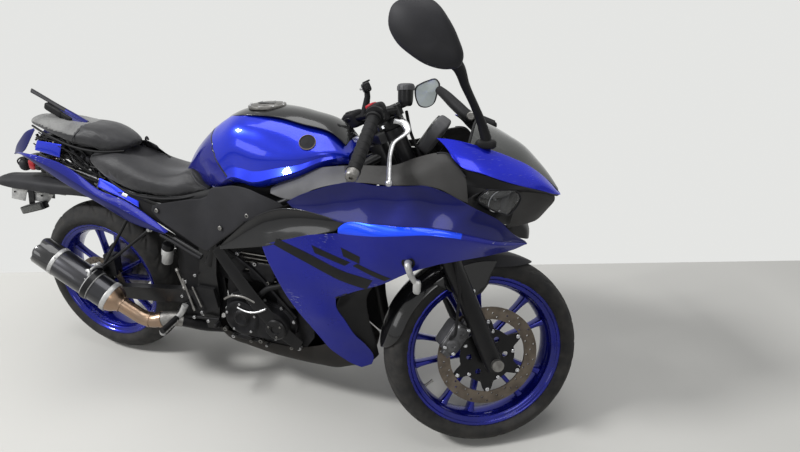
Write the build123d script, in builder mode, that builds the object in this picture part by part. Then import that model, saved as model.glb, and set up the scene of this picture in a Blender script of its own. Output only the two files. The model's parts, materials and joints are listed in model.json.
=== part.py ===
"""A sport bike parked on its side stand, steering against its left stop.

Every piece is drawn on the upright, straight-ahead bike: x forward from the rear axle,
y to the left of the middle, z up from the ground. The steered pieces are then turned
about the steering axis and the whole bike is leaned over until both tyres and the stand
foot meet the ground. Millimetres and degrees throughout.
"""

import os
from math import asin, atan2, cos, degrees, hypot, radians, sin, sqrt

from build123d import *

os.makedirs("parts", exist_ok=True)

# ------------------------------------------------------------------ driving sizes
wheelbase = 1380.0
rake = 25.0
trail = 95.0
lean = 9.0
steer_turn = 30.5

front_tyre_radius = 293.0
front_tyre_width = 110.0
rear_tyre_radius = 310.0
rear_tyre_width = 140.0
tyre_wall = 9.0
flange_radius = 231.0
seat_radius = 218.0
front_rim_half = 43.0
rear_rim_half = 58.0
rim_wall = 6.0

axle_radius = 10.0
running_gap = 0.05
clear_gap = 0.3
hub_radius = 32.0
front_hub_half = 50.0
rear_hub_half = 60.0

front_disc_radius = 149.0
rear_disc_radius = 110.0
disc_thick = 4.5
front_disc_y = -60.0
rear_disc_y = -72.0
pad_gap = 5.0

sprocket_radius = 104.0
drive_radius = 37.0
chain_y = 82.0
chain_height = 11.0
chain_width = 14.0

fork_spread = 95.0
fork_tube_radius = 20.5
fork_leg_radius = 27.0
stem_radius = 15.0
head_radius = 27.0
clamp_thick = 25.0

panel_wall = 4.0
cover_wall = 4.0
screen_wall = 3.0

pivot = Vector(515.0, 0.0, 367.0)
arm_y = 108.0
arm_width = 30.0
plate_y = 120.0
plate_thick = 14.0

muffler_radius = 52.0
pipe_radius = 19.0

stand_pivot = Vector(575.0, 134.0, 238.0)
stand_reach = Vector(65.0, 148.0, 0.0)
stand_tilt = 35.3
stand_radius = 10.0
foot_thick = 7.0

cap_radius = 46.0
cap_thick = 9.0
cap_centre_x = 714.0

# ------------------------------------------------------------------ places worked out
front_axle_at = Vector(wheelbase, 0, front_tyre_radius)
rear_axle_at = Vector(0, 0, rear_tyre_radius)
steer_up = Vector(-sin(radians(rake)), 0, cos(radians(rake)))
steer_ahead = Vector(cos(radians(rake)), 0, sin(radians(rake)))
steer_foot = Vector(wheelbase + trail, 0, 0)
fork_offset = front_tyre_radius * sin(radians(rake)) - trail * cos(radians(rake))
steer_plane = Plane(steer_foot, x_dir=steer_ahead, z_dir=steer_up)
axle_along = (front_axle_at - steer_foot).dot(steer_up)


def on_steering(along, ahead=0.0, left=0.0):
    """Point on the straight-ahead steering: along its axis, ahead of it and to the left."""
    return steer_foot + steer_up * along + steer_ahead * ahead + Vector(0, left, 0)


def tyre_low(centre, axle, radius, width):
    """Height of the lowest point of a tyre whose crown is a half circle of its width."""
    crown = width / 2
    return centre.Z - (radius - crown) * sqrt(1 - axle.Z**2) - crown


STEERED = steer_plane.location * Rotation(0, 0, steer_turn) * steer_plane.location.inverse()


def turned(place, point):
    """Point carried by a location."""
    return (place * Location(point)).position


def lean_over():
    """Location that leans the bike, then dips and lifts it until both tyres touch z = 0."""
    dip = 0.0
    for _ in range(4):
        place = Rotation(0, dip, 0) * Rotation(-lean, 0, 0)
        side = turned(place, Vector(0, 1, 0))
        rear = tyre_low(turned(place, rear_axle_at), side, rear_tyre_radius, rear_tyre_width)
        steered = place * STEERED
        side = turned(steered, Vector(0, 1, 0)) - turned(steered, Vector(0, 0, 0))
        front = tyre_low(
            turned(steered, front_axle_at), side, front_tyre_radius, front_tyre_width
        )
        dip += degrees(asin((front - rear) / wheelbase))
    return Location((0, 0, -rear)) * place


LEANED = lean_over()
ground = Plane(LEANED.inverse())


# ------------------------------------------------------------------ shapes used often
def rod(start, end, radius, bore=0.0):
    """Round bar, or tube if it has a bore, between two points."""
    start, end = Vector(start), Vector(end)
    with BuildPart() as bar:
        with BuildSketch(Plane(start, z_dir=end - start)):
            Circle(radius)
            if bore:
                Circle(bore, mode=Mode.SUBTRACT)
        extrude(amount=(end - start).length)
    return bar.part


def pipe(points, radius, bend):
    """Round pipe along straight runs joined by bends."""
    with BuildPart() as run:
        with BuildLine() as route:
            FilletPolyline(*points, radius=bend)
        with BuildSketch(Plane(route.line @ 0, z_dir=route.line % 0)):
            Circle(radius)
        sweep()
    return run.part


def inner_line(line, wall):
    """Line a wall's thickness to the left of an open (y, z) line."""
    shifted = []
    for i, (y, z) in enumerate(line):
        before, after = line[max(i - 1, 0)], line[min(i + 1, len(line) - 1)]
        dy, dz = after[0] - before[0], after[1] - before[1]
        length = hypot(dy, dz)
        shifted.append((y - dz / length * wall, z + dy / length * wall))
    return shifted


def skin(stations, wall):
    """Curved wall through its outer (y, z) line at each x; the wall is on the line's left."""
    with BuildPart() as panel:
        for x, line in stations:
            with BuildSketch(Plane.YZ.offset(x)):
                with BuildLine():
                    Polyline(*line, *reversed(inner_line(line, wall)), close=True)
                make_face()
        loft(ruled=True)
    return panel.part


def body(stations):
    """Solid through a closed (y, z) outline at each x."""
    with BuildPart() as solid:
        for x, line in stations:
            with BuildSketch(Plane.YZ.offset(x)):
                with BuildLine():
                    Polyline(*line, close=True)
                make_face()
        loft(ruled=True)
    return solid.part


def slab(outline, y_from, y_to):
    """Plate with an (x, z) outline between two sideways places."""
    with BuildPart() as plate:
        with BuildSketch(Plane.XZ.offset(-y_from)):
            with BuildLine():
                Polyline(*outline, close=True)
            make_face()
        extrude(amount=y_from - y_to)
    return plate.part


def side_strips(table):
    """Right-hand (x, outer line) stations from rows of x, y top, z top, y low, z low."""
    return [(x, [(-y_top, z_top), (-y_low, z_low)]) for x, y_top, z_top, y_low, z_low in table]


bike = {}
steered_nodes = set()


def keep(name, made, steered=False):
    """Enter a finished piece under its node's name."""
    bike[name] = made.part
    if steered:
        steered_nodes.add(name)


# ------------------------------------------------------------------ wheels
def wheel_section(centre):
    """Plane of a wheel's section: its x along the axle, its y up from the axle."""
    return Plane(centre, x_dir=(0, 1, 0), z_dir=(1, 0, 0))


def tyre(centre, radius, width, rim_half):
    """Tyre whose crown is a half circle, hollow to its beads."""
    crown = width / 2
    bead = rim_half - 8.6
    middle = radius - crown
    inside = crown - tyre_wall
    with BuildPart() as ring:
        with BuildSketch(wheel_section(centre)):
            with BuildLine():
                ThreePointArc((-crown, middle), (0, radius), (crown, middle))
                Polyline(
                    (crown, middle),
                    (bead, flange_radius + 1),
                    (bead, seat_radius + clear_gap),
                    (bead - 12, seat_radius + clear_gap),
                    (bead - 12, flange_radius + 1),
                    (inside, middle),
                )
                ThreePointArc((inside, middle), (0, middle + inside), (-inside, middle))
                Polyline(
                    (-inside, middle),
                    (12 - bead, flange_radius + 1),
                    (12 - bead, seat_radius + clear_gap),
                    (-bead, seat_radius + clear_gap),
                    (-bead, flange_radius + 1),
                    (-crown, middle),
                )
            make_face()
        revolve(axis=Axis(centre, (0, 1, 0)))
    return ring


def rim(centre, half, hub_half, hub_bore, first_pair):
    """Cast wheel: barrel, hub and five pairs of slim spokes, the first at an angle."""
    outer = [(half, 231), (half - 6, 231), (half - 8, seat_radius)]
    outer += [(half - 20, seat_radius - 2), (half - 28, seat_radius - 14)]
    inner = [(y - (2 if y == half else 0), r - rim_wall) for y, r in outer if y != half - 6]
    mirrored_outer = [(-y, r) for y, r in reversed(outer)]
    mirrored_inner = [(-y, r) for y, r in inner]
    with BuildPart() as wheel:
        with BuildSketch(wheel_section(centre)):
            with BuildLine():
                Polyline(*outer, *mirrored_outer, *mirrored_inner, *reversed(inner), close=True)
            make_face()
        revolve(axis=Axis(centre, (0, 1, 0)))
        with BuildSketch(Plane(centre, x_dir=(1, 0, 0), z_dir=(0, 1, 0))):
            for pair in range(5):
                for lean_side in (-1, 1):
                    at_hub = radians(72 * pair + first_pair + lean_side * 14)
                    at_rim = radians(72 * pair + first_pair + lean_side * 12.5)
                    across = Vector(-sin(at_rim), cos(at_rim)) * 8
                    start = Vector(cos(at_hub), sin(at_hub)) * (hub_radius - 6)
                    end = Vector(cos(at_rim), sin(at_rim)) * (seat_radius - 17)
                    with BuildLine():
                        Polyline(
                            start + across * 1.3, end + across, end - across, start - across * 1.3,
                            close=True,
                        )
                    make_face()
        extrude(amount=11, both=True)
        with BuildSketch(Plane(centre, x_dir=(1, 0, 0), z_dir=(0, 1, 0))):
            Circle(hub_radius)
        extrude(amount=hub_half, both=True)
        with BuildSketch(Plane(centre, x_dir=(1, 0, 0), z_dir=(0, 1, 0))):
            Circle(hub_bore)
        extrude(amount=hub_half + 1, both=True, mode=Mode.SUBTRACT)
    return wheel


def disc(centre, y_mid, radius, hub_half):
    """Brake disc with its carrier, seated on the end of the hub."""
    side = -1 if y_mid < 0 else 1
    with BuildPart() as rotor:
        with BuildSketch(Plane(centre + Vector(0, y_mid, 0), x_dir=(1, 0, 0), z_dir=(0, 1, 0))):
            Circle(radius)
            Circle(axle_radius + 8, mode=Mode.SUBTRACT)
        extrude(amount=disc_thick / 2, both=True)
        boss = Plane(centre + Vector(0, side * hub_half, 0), x_dir=(1, 0, 0), z_dir=(0, side, 0))
        with BuildSketch(boss):
            Circle(axle_radius + 34)
            Circle(axle_radius + 8, mode=Mode.SUBTRACT)
        extrude(amount=abs(y_mid) - hub_half)
    return rotor


hub_bore = axle_radius + running_gap
keep("rear_tyre", tyre(rear_axle_at, rear_tyre_radius, rear_tyre_width, rear_rim_half))
keep("front_tyre", tyre(front_axle_at, front_tyre_radius, front_tyre_width, front_rim_half), True)
keep("rear_rim", rim(rear_axle_at, rear_rim_half, rear_hub_half, hub_bore, 198))
keep("front_rim", rim(front_axle_at, front_rim_half, front_hub_half, hub_bore, 180), True)
keep("rear_disc", disc(rear_axle_at, rear_disc_y, rear_disc_radius, rear_hub_half))
keep("front_disc", disc(front_axle_at, front_disc_y, front_disc_radius, front_hub_half), True)

with BuildPart() as sprocket:
    with BuildSketch(Plane(rear_axle_at + Vector(0, rear_hub_half, 0), z_dir=(0, 1, 0))):
        Circle(axle_radius + 38)
        Circle(axle_radius + 8, mode=Mode.SUBTRACT)
    extrude(amount=chain_y - rear_hub_half)
    with BuildSketch(Plane(rear_axle_at + Vector(0, chain_y, 0), z_dir=(0, 1, 0))):
        Circle(sprocket_radius)
        Circle(axle_radius + 8, mode=Mode.SUBTRACT)
    extrude(amount=3, both=True)
keep("rear_sprocket", sprocket)

# ------------------------------------------------------------------ fork and steering
tube_top = 1045.0
leg_top = 640.0
leg_foot = axle_along - 22.0
lower_clamp_at = 815.0
head_low, head_high = 845.0, 1000.0
upper_clamp_at = 1003.0

with BuildPart() as fork:
    for left in (-fork_spread, fork_spread):
        add(rod(on_steering(leg_foot, fork_offset, left),
                on_steering(leg_top, fork_offset, left), fork_leg_radius))
        add(rod(on_steering(leg_top, fork_offset, left),
                on_steering(tube_top, fork_offset, left), fork_tube_radius))
    add(rod(front_axle_at + Vector(0, -130, 0), front_axle_at + Vector(0, 130, 0),
            axle_radius), mode=Mode.SUBTRACT)
keep("fork_legs", fork, True)

with BuildPart() as front_axle:
    add(rod(front_axle_at + Vector(0, -128, 0), front_axle_at + Vector(0, 128, 0), axle_radius))
    for side in (-1, 1):
        add(rod(front_axle_at + Vector(0, side * (fork_spread - fork_leg_radius - clear_gap), 0),
                front_axle_at + Vector(0, side * (front_hub_half + clear_gap), 0), 15))
        add(rod(front_axle_at + Vector(0, side * (fork_spread + fork_leg_radius + clear_gap), 0),
                front_axle_at + Vector(0, side * 134, 0), 17))
keep("front_axle", front_axle, True)


def clamp_plate(along):
    """Triple clamp: a bar across both fork tubes, bored for them."""
    with BuildPart() as plate:
        with BuildSketch(Plane(on_steering(along), x_dir=steer_ahead, z_dir=steer_up)):
            with Locations((fork_offset * 0.45, 0)):
                Rectangle(56, 2 * fork_spread)
            with Locations((fork_offset, -fork_spread), (fork_offset, fork_spread)):
                Circle(fork_tube_radius + 9)
            with Locations((fork_offset, -fork_spread), (fork_offset, fork_spread)):
                Circle(fork_tube_radius, mode=Mode.SUBTRACT)
        extrude(amount=clamp_thick)
    return plate.part


with BuildPart() as clamps:
    add(clamp_plate(lower_clamp_at))
    add(clamp_plate(upper_clamp_at))
    add(rod(on_steering(lower_clamp_at), on_steering(upper_clamp_at + 5),
            stem_radius - running_gap))
    add(rod(on_steering(upper_clamp_at + clamp_thick), on_steering(upper_clamp_at + 38), 17))
keep("triple_clamps", clamps, True)

fender_reach = 13.0
fender_wall = 3.0
fender_from, fender_to = 61.0, 178.0
with BuildPart() as front_fender:
    with BuildSketch(wheel_section(front_axle_at)):
        with BuildLine():
            top = front_tyre_radius + fender_reach
            half_line = [(0, top), (36, top - 3), (57, top - 16), (63, top - 36)]
            inner_half = [(y - fender_wall * 0.8 if y > 40 else y, r - fender_wall)
                          for y, r in half_line]
            whole_line = [(-y, r) for y, r in reversed(half_line[1:])] + half_line
            whole_inner = [(-y, r) for y, r in reversed(inner_half[1:])] + inner_half
            Polyline(*whole_line, *reversed(whole_inner), close=True)
        make_face()
    revolve(axis=Axis(front_axle_at, (0, -1, 0)), revolution_arc=fender_to - 90)
    with BuildSketch(wheel_section(front_axle_at)):
        with BuildLine():
            Polyline(*whole_line, *reversed(whole_inner), close=True)
        make_face()
    revolve(axis=Axis(front_axle_at, (0, 1, 0)), revolution_arc=90 - fender_from)
    for side in (-1, 1):
        lug = on_steering(axle_along + 268, fork_offset - 4, side * 60)
        add(rod(lug, lug + Vector(0, side * (fork_spread - fork_leg_radius - 60 + 6), 0), 9))
    add(fork.part, mode=Mode.SUBTRACT)
keep("front_fender", front_fender, True)

caliper_angle = 148.0
with BuildPart() as front_caliper:
    caliper_mid = front_axle_at + Vector(
        cos(radians(caliper_angle)) * 128, 0, sin(radians(caliper_angle)) * 128)
    caliper_plane = Plane(caliper_mid + Vector(0, front_disc_y, 0),
                          x_dir=(sin(radians(caliper_angle)), 0, -cos(radians(caliper_angle))),
                          z_dir=(0, 1, 0))
    with BuildSketch(caliper_plane):
        RectangleRounded(96, 62, 10)
    extrude(amount=15)
    with BuildSketch(caliper_plane):
        RectangleRounded(96, 62, 10)
    extrude(amount=-40)
    with BuildSketch(Plane(front_axle_at + Vector(0, front_disc_y, 0), z_dir=(0, 1, 0))):
        Circle(front_disc_radius + pad_gap)
    extrude(amount=disc_thick / 2 + pad_gap, both=True, mode=Mode.SUBTRACT)
    add(fork.part, mode=Mode.SUBTRACT)
keep("front_caliper", front_caliper, True)


def hand_point(along, ahead, side, left):
    """Point of the controls on one side, in steering terms."""
    return on_steering(along, ahead, side * left)


# rows: side, grip end along the axis, ahead, left
grip_ends = {-1: (999.0, -134.0, 300.0), 1: (1052.0, -112.0, 306.0)}
grip_starts = {-1: (1083.0, -16.0, 176.0), 1: (1083.0, -22.0, 176.0)}
bar_root = (1072.0, fork_offset, fork_spread + 2)
bar_radius, grip_radius = 11.0, 16.0
with BuildPart() as handlebars:
    for side, (along, ahead, left) in grip_ends.items():
        top_of_tube = (tube_top - 16, fork_offset, side * fork_spread)
        add(rod(on_steering(*top_of_tube), on_steering(tube_top + 5, *top_of_tube[1:]),
                fork_tube_radius + 10))
        add(rod(on_steering(tube_top, *top_of_tube[1:]),
                on_steering(bar_root[0] + 12, *top_of_tube[1:]), 17))
        root = hand_point(bar_root[0], bar_root[1], side, bar_root[2])
        start = hand_point(*grip_starts[side][:2], side, grip_starts[side][2])
        end = hand_point(along, ahead, side, left)
        onward = (end - start).normalized()
        add(rod(root, start, bar_radius))
        add(Solid.make_sphere(bar_radius, angle1=-90).moved(Location(start)))
        add(rod(start, end, grip_radius))
        add(rod(end, end + onward * 20, grip_radius - 2))
    add(fork.part, mode=Mode.SUBTRACT)
keep("handlebars", handlebars, True)

lever_thick = 6.0
pot_foot, pot_height = Vector(1085, 151, 1002), 53.0


def controls(side, reservoir, lever_points):
    """Switch box, lever perch and lever on one bar."""
    start = hand_point(*grip_starts[side][:2], side, grip_starts[side][2])
    root = hand_point(bar_root[0], bar_root[1], side, bar_root[2])
    inward = (root - start).normalized()
    with BuildPart() as group:
        add(rod(start + inward * 3, start + inward * 50, 26))
        perch = start + inward * 26
        knuckle = perch + steer_ahead * 52 + Vector(0, side * 8, -14)
        add(rod(perch, knuckle, 13))
        add(rod(knuckle - steer_up * 14, knuckle + steer_up * 14, 12))
        add(pipe([knuckle, *lever_points], lever_thick, 12))
        add(Solid.make_sphere(9, angle1=-90).moved(Location(lever_points[-1])))
        if reservoir:
            pot = Vector(pot_foot.X, side * pot_foot.Y, pot_foot.Z)
            add(rod(perch + steer_ahead * 20, pot + Vector(0, 0, 10), 11))
            add(rod(pot, pot + Vector(0, 0, pot_height), 20))
        else:
            post = root + (start - root) * 0.35
            add(rod(post, post + Vector(2, -16, 96), 9))
            add(rod(post + Vector(2, -12, 74), post + Vector(2, -18, 108), 15))
        add(handlebars.part, mode=Mode.SUBTRACT)
    return group


right_lever = [on_steering(1022, 46, -174), on_steering(1005, -6, -198),
               on_steering(942, -72, -305)]
left_lever = [on_steering(1016, 36, 222), on_steering(994, -24, 314)]
keep("right_controls", controls(-1, True, right_lever), True)
keep("left_controls", controls(1, False, left_lever), True)

hose_radius = 4.0
hose_y = fork_spread + fork_leg_radius + hose_radius + 9
with BuildPart() as brake_hose:
    add(pipe([
        on_steering(1058, 66, -154),
        on_steering(1000, 67, -109),
        on_steering(880, 67, -109),
        on_steering(700, 52, -hose_y),
        on_steering(560, 20, -hose_y),
        on_steering(axle_along + 134, -36, -hose_y + 12),
        on_steering(axle_along + 116, -52, -front_hub_half - 44),
    ], hose_radius, 30))
    add(bike["right_controls"], mode=Mode.SUBTRACT)
    add(front_caliper.part, mode=Mode.SUBTRACT)
    add(clamps.part, mode=Mode.SUBTRACT)
keep("brake_hose", brake_hose, True)

# ------------------------------------------------------------------ frame and swingarm
stand_axle = Vector(0, cos(radians(stand_tilt)), sin(radians(stand_tilt)))
boss_half = 11.0
stand_pin_radius = 6.0
rail_radius = 15.0
# rows: x, y, z of one main rail from the head tube back to the pivot plate
rail_points = [(1064, 14, 872), (905, 94, 786), (700, 104, 690), (560, 112, 588), (528, 120, 500)]
with BuildPart() as stand_post:
    pin_root = stand_pivot - stand_axle * 24
    elbow = pin_root - Vector(32, 0, 0)
    washer_face = boss_half + clear_gap
    add(rod(pin_root, stand_pivot + stand_axle * 19, stand_pin_radius))
    add(rod(stand_pivot - stand_axle * 17, stand_pivot - stand_axle * washer_face, 16))
    add(rod(stand_pivot + stand_axle * washer_face, stand_pivot + stand_axle * 17, 12))
    add(rod(pin_root + Vector(7, 0, 0), elbow - Vector(7, 0, 0), 7.5))
    add(rod(elbow, (536, 118, 272), 7))

with BuildPart() as main_frame:
    add(rod(on_steering(head_low), on_steering(head_high), head_radius))
    for side in (-1, 1):
        add(pipe([(x, side * y, z) for x, y, z in rail_points], rail_radius, 50))
        add(slab([(500, 610), (572, 600), (556, 470), (560, 380), (545, 262), (500, 255),
                  (482, 330), (478, 420), (500, 520)],
                 side * (plate_y - plate_thick / 2), side * (plate_y + plate_thick / 2)))
        add(rod((890, side * 94, 780), (884, side * 88, 846), 9))
    for x, z, radius in ((538, 560, 12), (505, 276, 10)):
        add(rod((x, -plate_y, z), (x, plate_y, z), radius))
    add(stand_post.part)
    add(rod(on_steering(head_low - 1), on_steering(head_high + 1), stem_radius),
        mode=Mode.SUBTRACT)
    add(rod(pivot + Vector(0, -plate_y - 20, 0), pivot + Vector(0, plate_y + 20, 0), 11),
        mode=Mode.SUBTRACT)
keep("main_frame", main_frame)

sub_radius = 11.0
# rows: x, y, z back along the upper and the lower subframe rail
upper_sub = [(560, 108, 642), (300, 92, 688), (60, 72, 736), (-230, 40, 786)]
lower_sub = [(512, 121, 530), (346, 100, 584), (60, 74, 714)]
with BuildPart() as subframe:
    for side in (-1, 1):
        for points in (upper_sub, lower_sub):
            add(pipe([(x, side * y, z) for x, y, z in points], sub_radius, 60))
        add(rod((300, side * 90, 688), (300, side * 90, 713), 7))
        add(rod((72, side * 72, 722), (90, side * 99, 698), 6))
        add(rod((340, side * 99, 585), (346, side * 118.5, 600), 6))
    for x, y, z, radius in ((290, 90, 690, 9), (70, 72, 734, 9), (-222, 78.5, 788, 7)):
        add(rod((x, -y, z), (x, y, z), radius))
    add(main_frame.part, mode=Mode.SUBTRACT)
keep("subframe", subframe)

arm_top = 332.0
spool_x, spool_z = 68.0, 307.0
with BuildPart() as swingarm:
    add(rod(pivot + Vector(0, -plate_y + plate_thick / 2 + clear_gap, 0),
            pivot + Vector(0, plate_y - plate_thick / 2 - clear_gap, 0), 20))
    add(rod(pivot + Vector(0, -plate_y - 16, 0), pivot + Vector(0, plate_y + 16, 0), 10.9))
    for side in (-1, 1):
        inner, outer = side * (arm_y - arm_width / 2), side * (arm_y + arm_width / 2)
        pinch = side * 15
        near_pivot = [(inner - pinch, 346), (outer - pinch, 346), (outer - pinch, 388),
                      (inner - pinch, 388)]
        middle = [(inner, 318), (outer, 318), (outer, 374), (inner, 374)]
        near_axle = [(inner, 290), (outer, 290), (outer, arm_top), (inner, arm_top)]
        add(body([(-38, near_axle), (40, near_axle), (330, middle), (pivot.X - 8, near_pivot)]))
    add(slab([(372, 334), (432, 338), (432, 384), (372, 376)], -arm_y, arm_y))
    add(rod(rear_axle_at + Vector(0, -arm_y - 30, 0), rear_axle_at + Vector(0, arm_y + 30, 0),
            axle_radius), mode=Mode.SUBTRACT)
    add(main_frame.part, mode=Mode.SUBTRACT)
keep("swingarm", swingarm)

spool_length, spool_thread = 14.0, 3.0
with BuildPart() as stand_spools:
    for side in (-1, 1):
        spool = Vector(spool_x, side * (arm_y + arm_width / 2), spool_z)
        add(rod(spool, spool + Vector(0, side * spool_length, 0), 9, spool_thread))
keep("stand_spools", stand_spools)

with BuildPart() as rear_axle:
    add(rod(rear_axle_at + Vector(0, -arm_y - 24, 0), rear_axle_at + Vector(0, arm_y + 24, 0),
            axle_radius))
    for side in (-1, 1):
        add(rod(rear_axle_at + Vector(0, side * (arm_y - arm_width / 2 - clear_gap), 0),
                rear_axle_at + Vector(0, side * (rear_hub_half + clear_gap), 0), 16))
        add(rod(rear_axle_at + Vector(0, side * (arm_y + arm_width / 2 + clear_gap), 0),
                rear_axle_at + Vector(0, side * (arm_y + 29), 0), 16))
keep("rear_axle", rear_axle)

with BuildPart() as shock:
    add(rod((432 + clear_gap, 0, 362), (470, 0, 420), 12))
    add(rod((458, 0, 402), (520, 0, 540), 36))
    add(rod((516, 0, 530), (538, 0, 560), 12))
    add(main_frame.part, mode=Mode.SUBTRACT)
    add(swingarm.part, mode=Mode.SUBTRACT)
keep("rear_shock", shock)

with BuildPart() as rear_caliper:
    with BuildSketch(Plane((66, rear_disc_y - 16, 404), z_dir=(0, 1, 0))):
        RectangleRounded(84, 50, 8)
    extrude(amount=34)
    add(slab([(20, arm_top + clear_gap), (38, arm_top + clear_gap), (60, 385), (36, 385)],
             -arm_y, -arm_y + 11))
    with BuildSketch(Plane((46, -arm_y, 390), z_dir=(0, 1, 0))):
        Rectangle(30, 12)
    extrude(amount=24)
    with BuildSketch(Plane(rear_axle_at + Vector(0, rear_disc_y, 0), z_dir=(0, 1, 0))):
        Circle(rear_disc_radius + pad_gap)
    extrude(amount=disc_thick / 2 + pad_gap, both=True, mode=Mode.SUBTRACT)
keep("rear_caliper", rear_caliper)

drive_at = Vector(572, 0, 360)


def chain_loop(front_radius, rear_radius, width):
    """Closed chain outline between the two sprockets, a belt of the given radii."""
    across = drive_at - rear_axle_at
    span = hypot(across.X, across.Z)
    tilt = degrees(atan2(across.Z, across.X))
    open_angle = degrees(asin((rear_radius - front_radius) / span))
    corners = []
    for centre, radius in ((rear_axle_at, rear_radius), (drive_at, front_radius)):
        for sign in (1, -1):
            turn = radians(tilt + sign * (90 - open_angle))
            corners.append((centre.X + cos(turn) * radius, centre.Z + sin(turn) * radius))
    with BuildPart() as loop:
        with BuildSketch(Plane.XZ.offset(-chain_y)):
            with BuildLine():
                Polyline(corners[0], corners[2], corners[3], corners[1], close=True)
            make_face()
            with Locations((rear_axle_at.X, rear_axle_at.Z)):
                Circle(rear_radius)
            with Locations((drive_at.X, drive_at.Z)):
                Circle(front_radius)
        extrude(amount=width / 2, both=True)
    return loop.part


with BuildPart() as chain:
    add(chain_loop(drive_radius + chain_height, sprocket_radius + clear_gap + chain_height,
                   chain_width))
    add(chain_loop(drive_radius, sprocket_radius + clear_gap, chain_width + 2),
        mode=Mode.SUBTRACT)
keep("chain", chain)

with BuildPart() as chain_guard:
    add(skin([(60, [(100, 426), (100, 438), (76, 438)]), (470, [(100, 402), (100, 424), (76, 424)])],
             3))
    add(slab([(372, 372), (392, 372), (392, 420), (372, 420)], 96, 102))
    add(swingarm.part, mode=Mode.SUBTRACT)
keep("chain_guard", chain_guard)

# ------------------------------------------------------------------ engine and exhaust
engine_half = 104.0
with BuildPart() as engine:
    add(slab([(586, 300), (580, 420), (600, 520), (668, 556), (884, 440), (886, 290),
              (852, 236), (640, 236)], -engine_half, engine_half))
    add(slab([(668, 540), (700, 640), (850, 668), (906, 560), (884, 420)], -80, 80))
    add(rod(drive_at + Vector(0, engine_half - 1, 0), drive_at + Vector(0, chain_y - 10, 0), 14))
    add(chain_loop(drive_radius + chain_height + 2, sprocket_radius + chain_height + 2,
                   chain_width + 6), mode=Mode.SUBTRACT)
    add(rod(drive_at + Vector(0, chain_y + 5, 0), drive_at + Vector(0, 50, 0),
            drive_radius - clear_gap))
    add(main_frame.part, mode=Mode.SUBTRACT)
keep("engine", engine)

with BuildPart() as engine_covers:
    with BuildSketch(Plane.XZ.offset(engine_half)):
        with Locations((652, 340)):
            Circle(76)
        with Locations((770, 330)):
            Circle(62)
        with BuildLine():
            Polyline((652, 416), (772, 392), (772, 268), (652, 264), close=True)
        make_face()
    extrude(amount=48)
    with BuildSketch(Plane.XZ.offset(-engine_half)):
        with Locations((770, 330)):
            Circle(70)
    extrude(amount=-44)
keep("engine_covers", engine_covers)

with BuildPart() as radiator:
    add(slab([(936, 360), (962, 356), (1002, 596), (976, 602)], -118, 118))
    for side in (-1, 1):
        add(rod((985, side * 80, 600), (915, side * 82, 690), 7))
    add(main_frame.part, mode=Mode.SUBTRACT)
keep("radiator", radiator)

# rows: x, y, z along the exhaust from the cylinder head to the muffler
exhaust_points = [(894, 0, 520), (930, 0, 470), (912, 0, 330), (884, 0, 214), (800, 0, 206),
                  (560, -30, 216), (470, -96, 246), (396, -152, 284), (318, -180, 276)]
muffler_front = Vector(186, -208, 348)
muffler_rear = Vector(-84, -236, 514)
with BuildPart() as exhaust_pipe:
    add(pipe([*exhaust_points, muffler_front], pipe_radius, 22))
    add(engine.part, mode=Mode.SUBTRACT)
keep("exhaust_pipe", exhaust_pipe)

muffler_line = (muffler_rear - muffler_front).normalized()
cone_length = 62.0
with BuildPart() as muffler:
    with BuildSketch(Plane(muffler_front, z_dir=muffler_line)):
        Circle(pipe_radius + 4)
    with BuildSketch(Plane(muffler_front + muffler_line * cone_length, z_dir=muffler_line)):
        Circle(muffler_radius)
    loft()
    add(rod(muffler_front + muffler_line * cone_length, muffler_rear, muffler_radius))
    add(rod(muffler_rear - muffler_line * 120, muffler_rear + muffler_line, muffler_radius - 16),
        mode=Mode.SUBTRACT)
    add(exhaust_pipe.part, mode=Mode.SUBTRACT)
keep("muffler", muffler)

strap_at = muffler_front + muffler_line * 96
with BuildPart() as hanger:
    add(rod(strap_at - muffler_line * 10, strap_at + muffler_line * 10, muffler_radius + 4,
            muffler_radius))
    ear = strap_at + Vector(10, 46, 44)
    add(rod(strap_at + Vector(8, 20, 50), ear, 6))
    upper_front, upper_rear = Vector(300, -108, 590), Vector(214, -96, 632)
    for end in (upper_front, upper_rear):
        add(rod(ear, end, 5.5))
        add(Solid.make_sphere(9, angle1=-90).moved(Location(end)))
    add(rod(upper_front, upper_rear, 5.5))
    add(Solid.make_sphere(9, angle1=-90).moved(Location(ear)))
    add(subframe.part, mode=Mode.SUBTRACT)
    add(muffler.part, mode=Mode.SUBTRACT)
keep("muffler_hanger", hanger)

# ------------------------------------------------------------------ tank and seats
# columns: x, top z, half width of the top, ridge z, half width at the ridge, low z, half there
tank_table = [
    (440, 812, 38, 800, 58, 782, 52),
    (500, 886, 58, 856, 96, 772, 84),
    (580, 950, 72, 872, 126, 772, 104),
    (650, 992, 76, 868, 138, 776, 124),
    (780, 992, 76, 846, 148, 790, 139),
    (860, 966, 74, 858, 148, 830, 136),
    (940, 936, 66, 890, 118, 858, 110),
    (985, 902, 52, 888, 84, 868, 82),
]


def tank_outline(top, half_top, ridge, half_ridge, low, half_low):
    """Closed outline of the tank across one station, left shoulder first."""
    shoulder = (half_top * 0.4 + half_ridge * 0.66, top * 0.62 + ridge * 0.38)
    left = [(half_top, top), shoulder, (half_ridge, ridge), (half_low, low)]
    return left + [(-y, z) for y, z in reversed(left)]


with BuildPart() as tank:
    add(body([(row[0], tank_outline(*row[1:])) for row in tank_table]))
    add(main_frame.part, mode=Mode.SUBTRACT)
keep("fuel_tank", tank)

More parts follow.
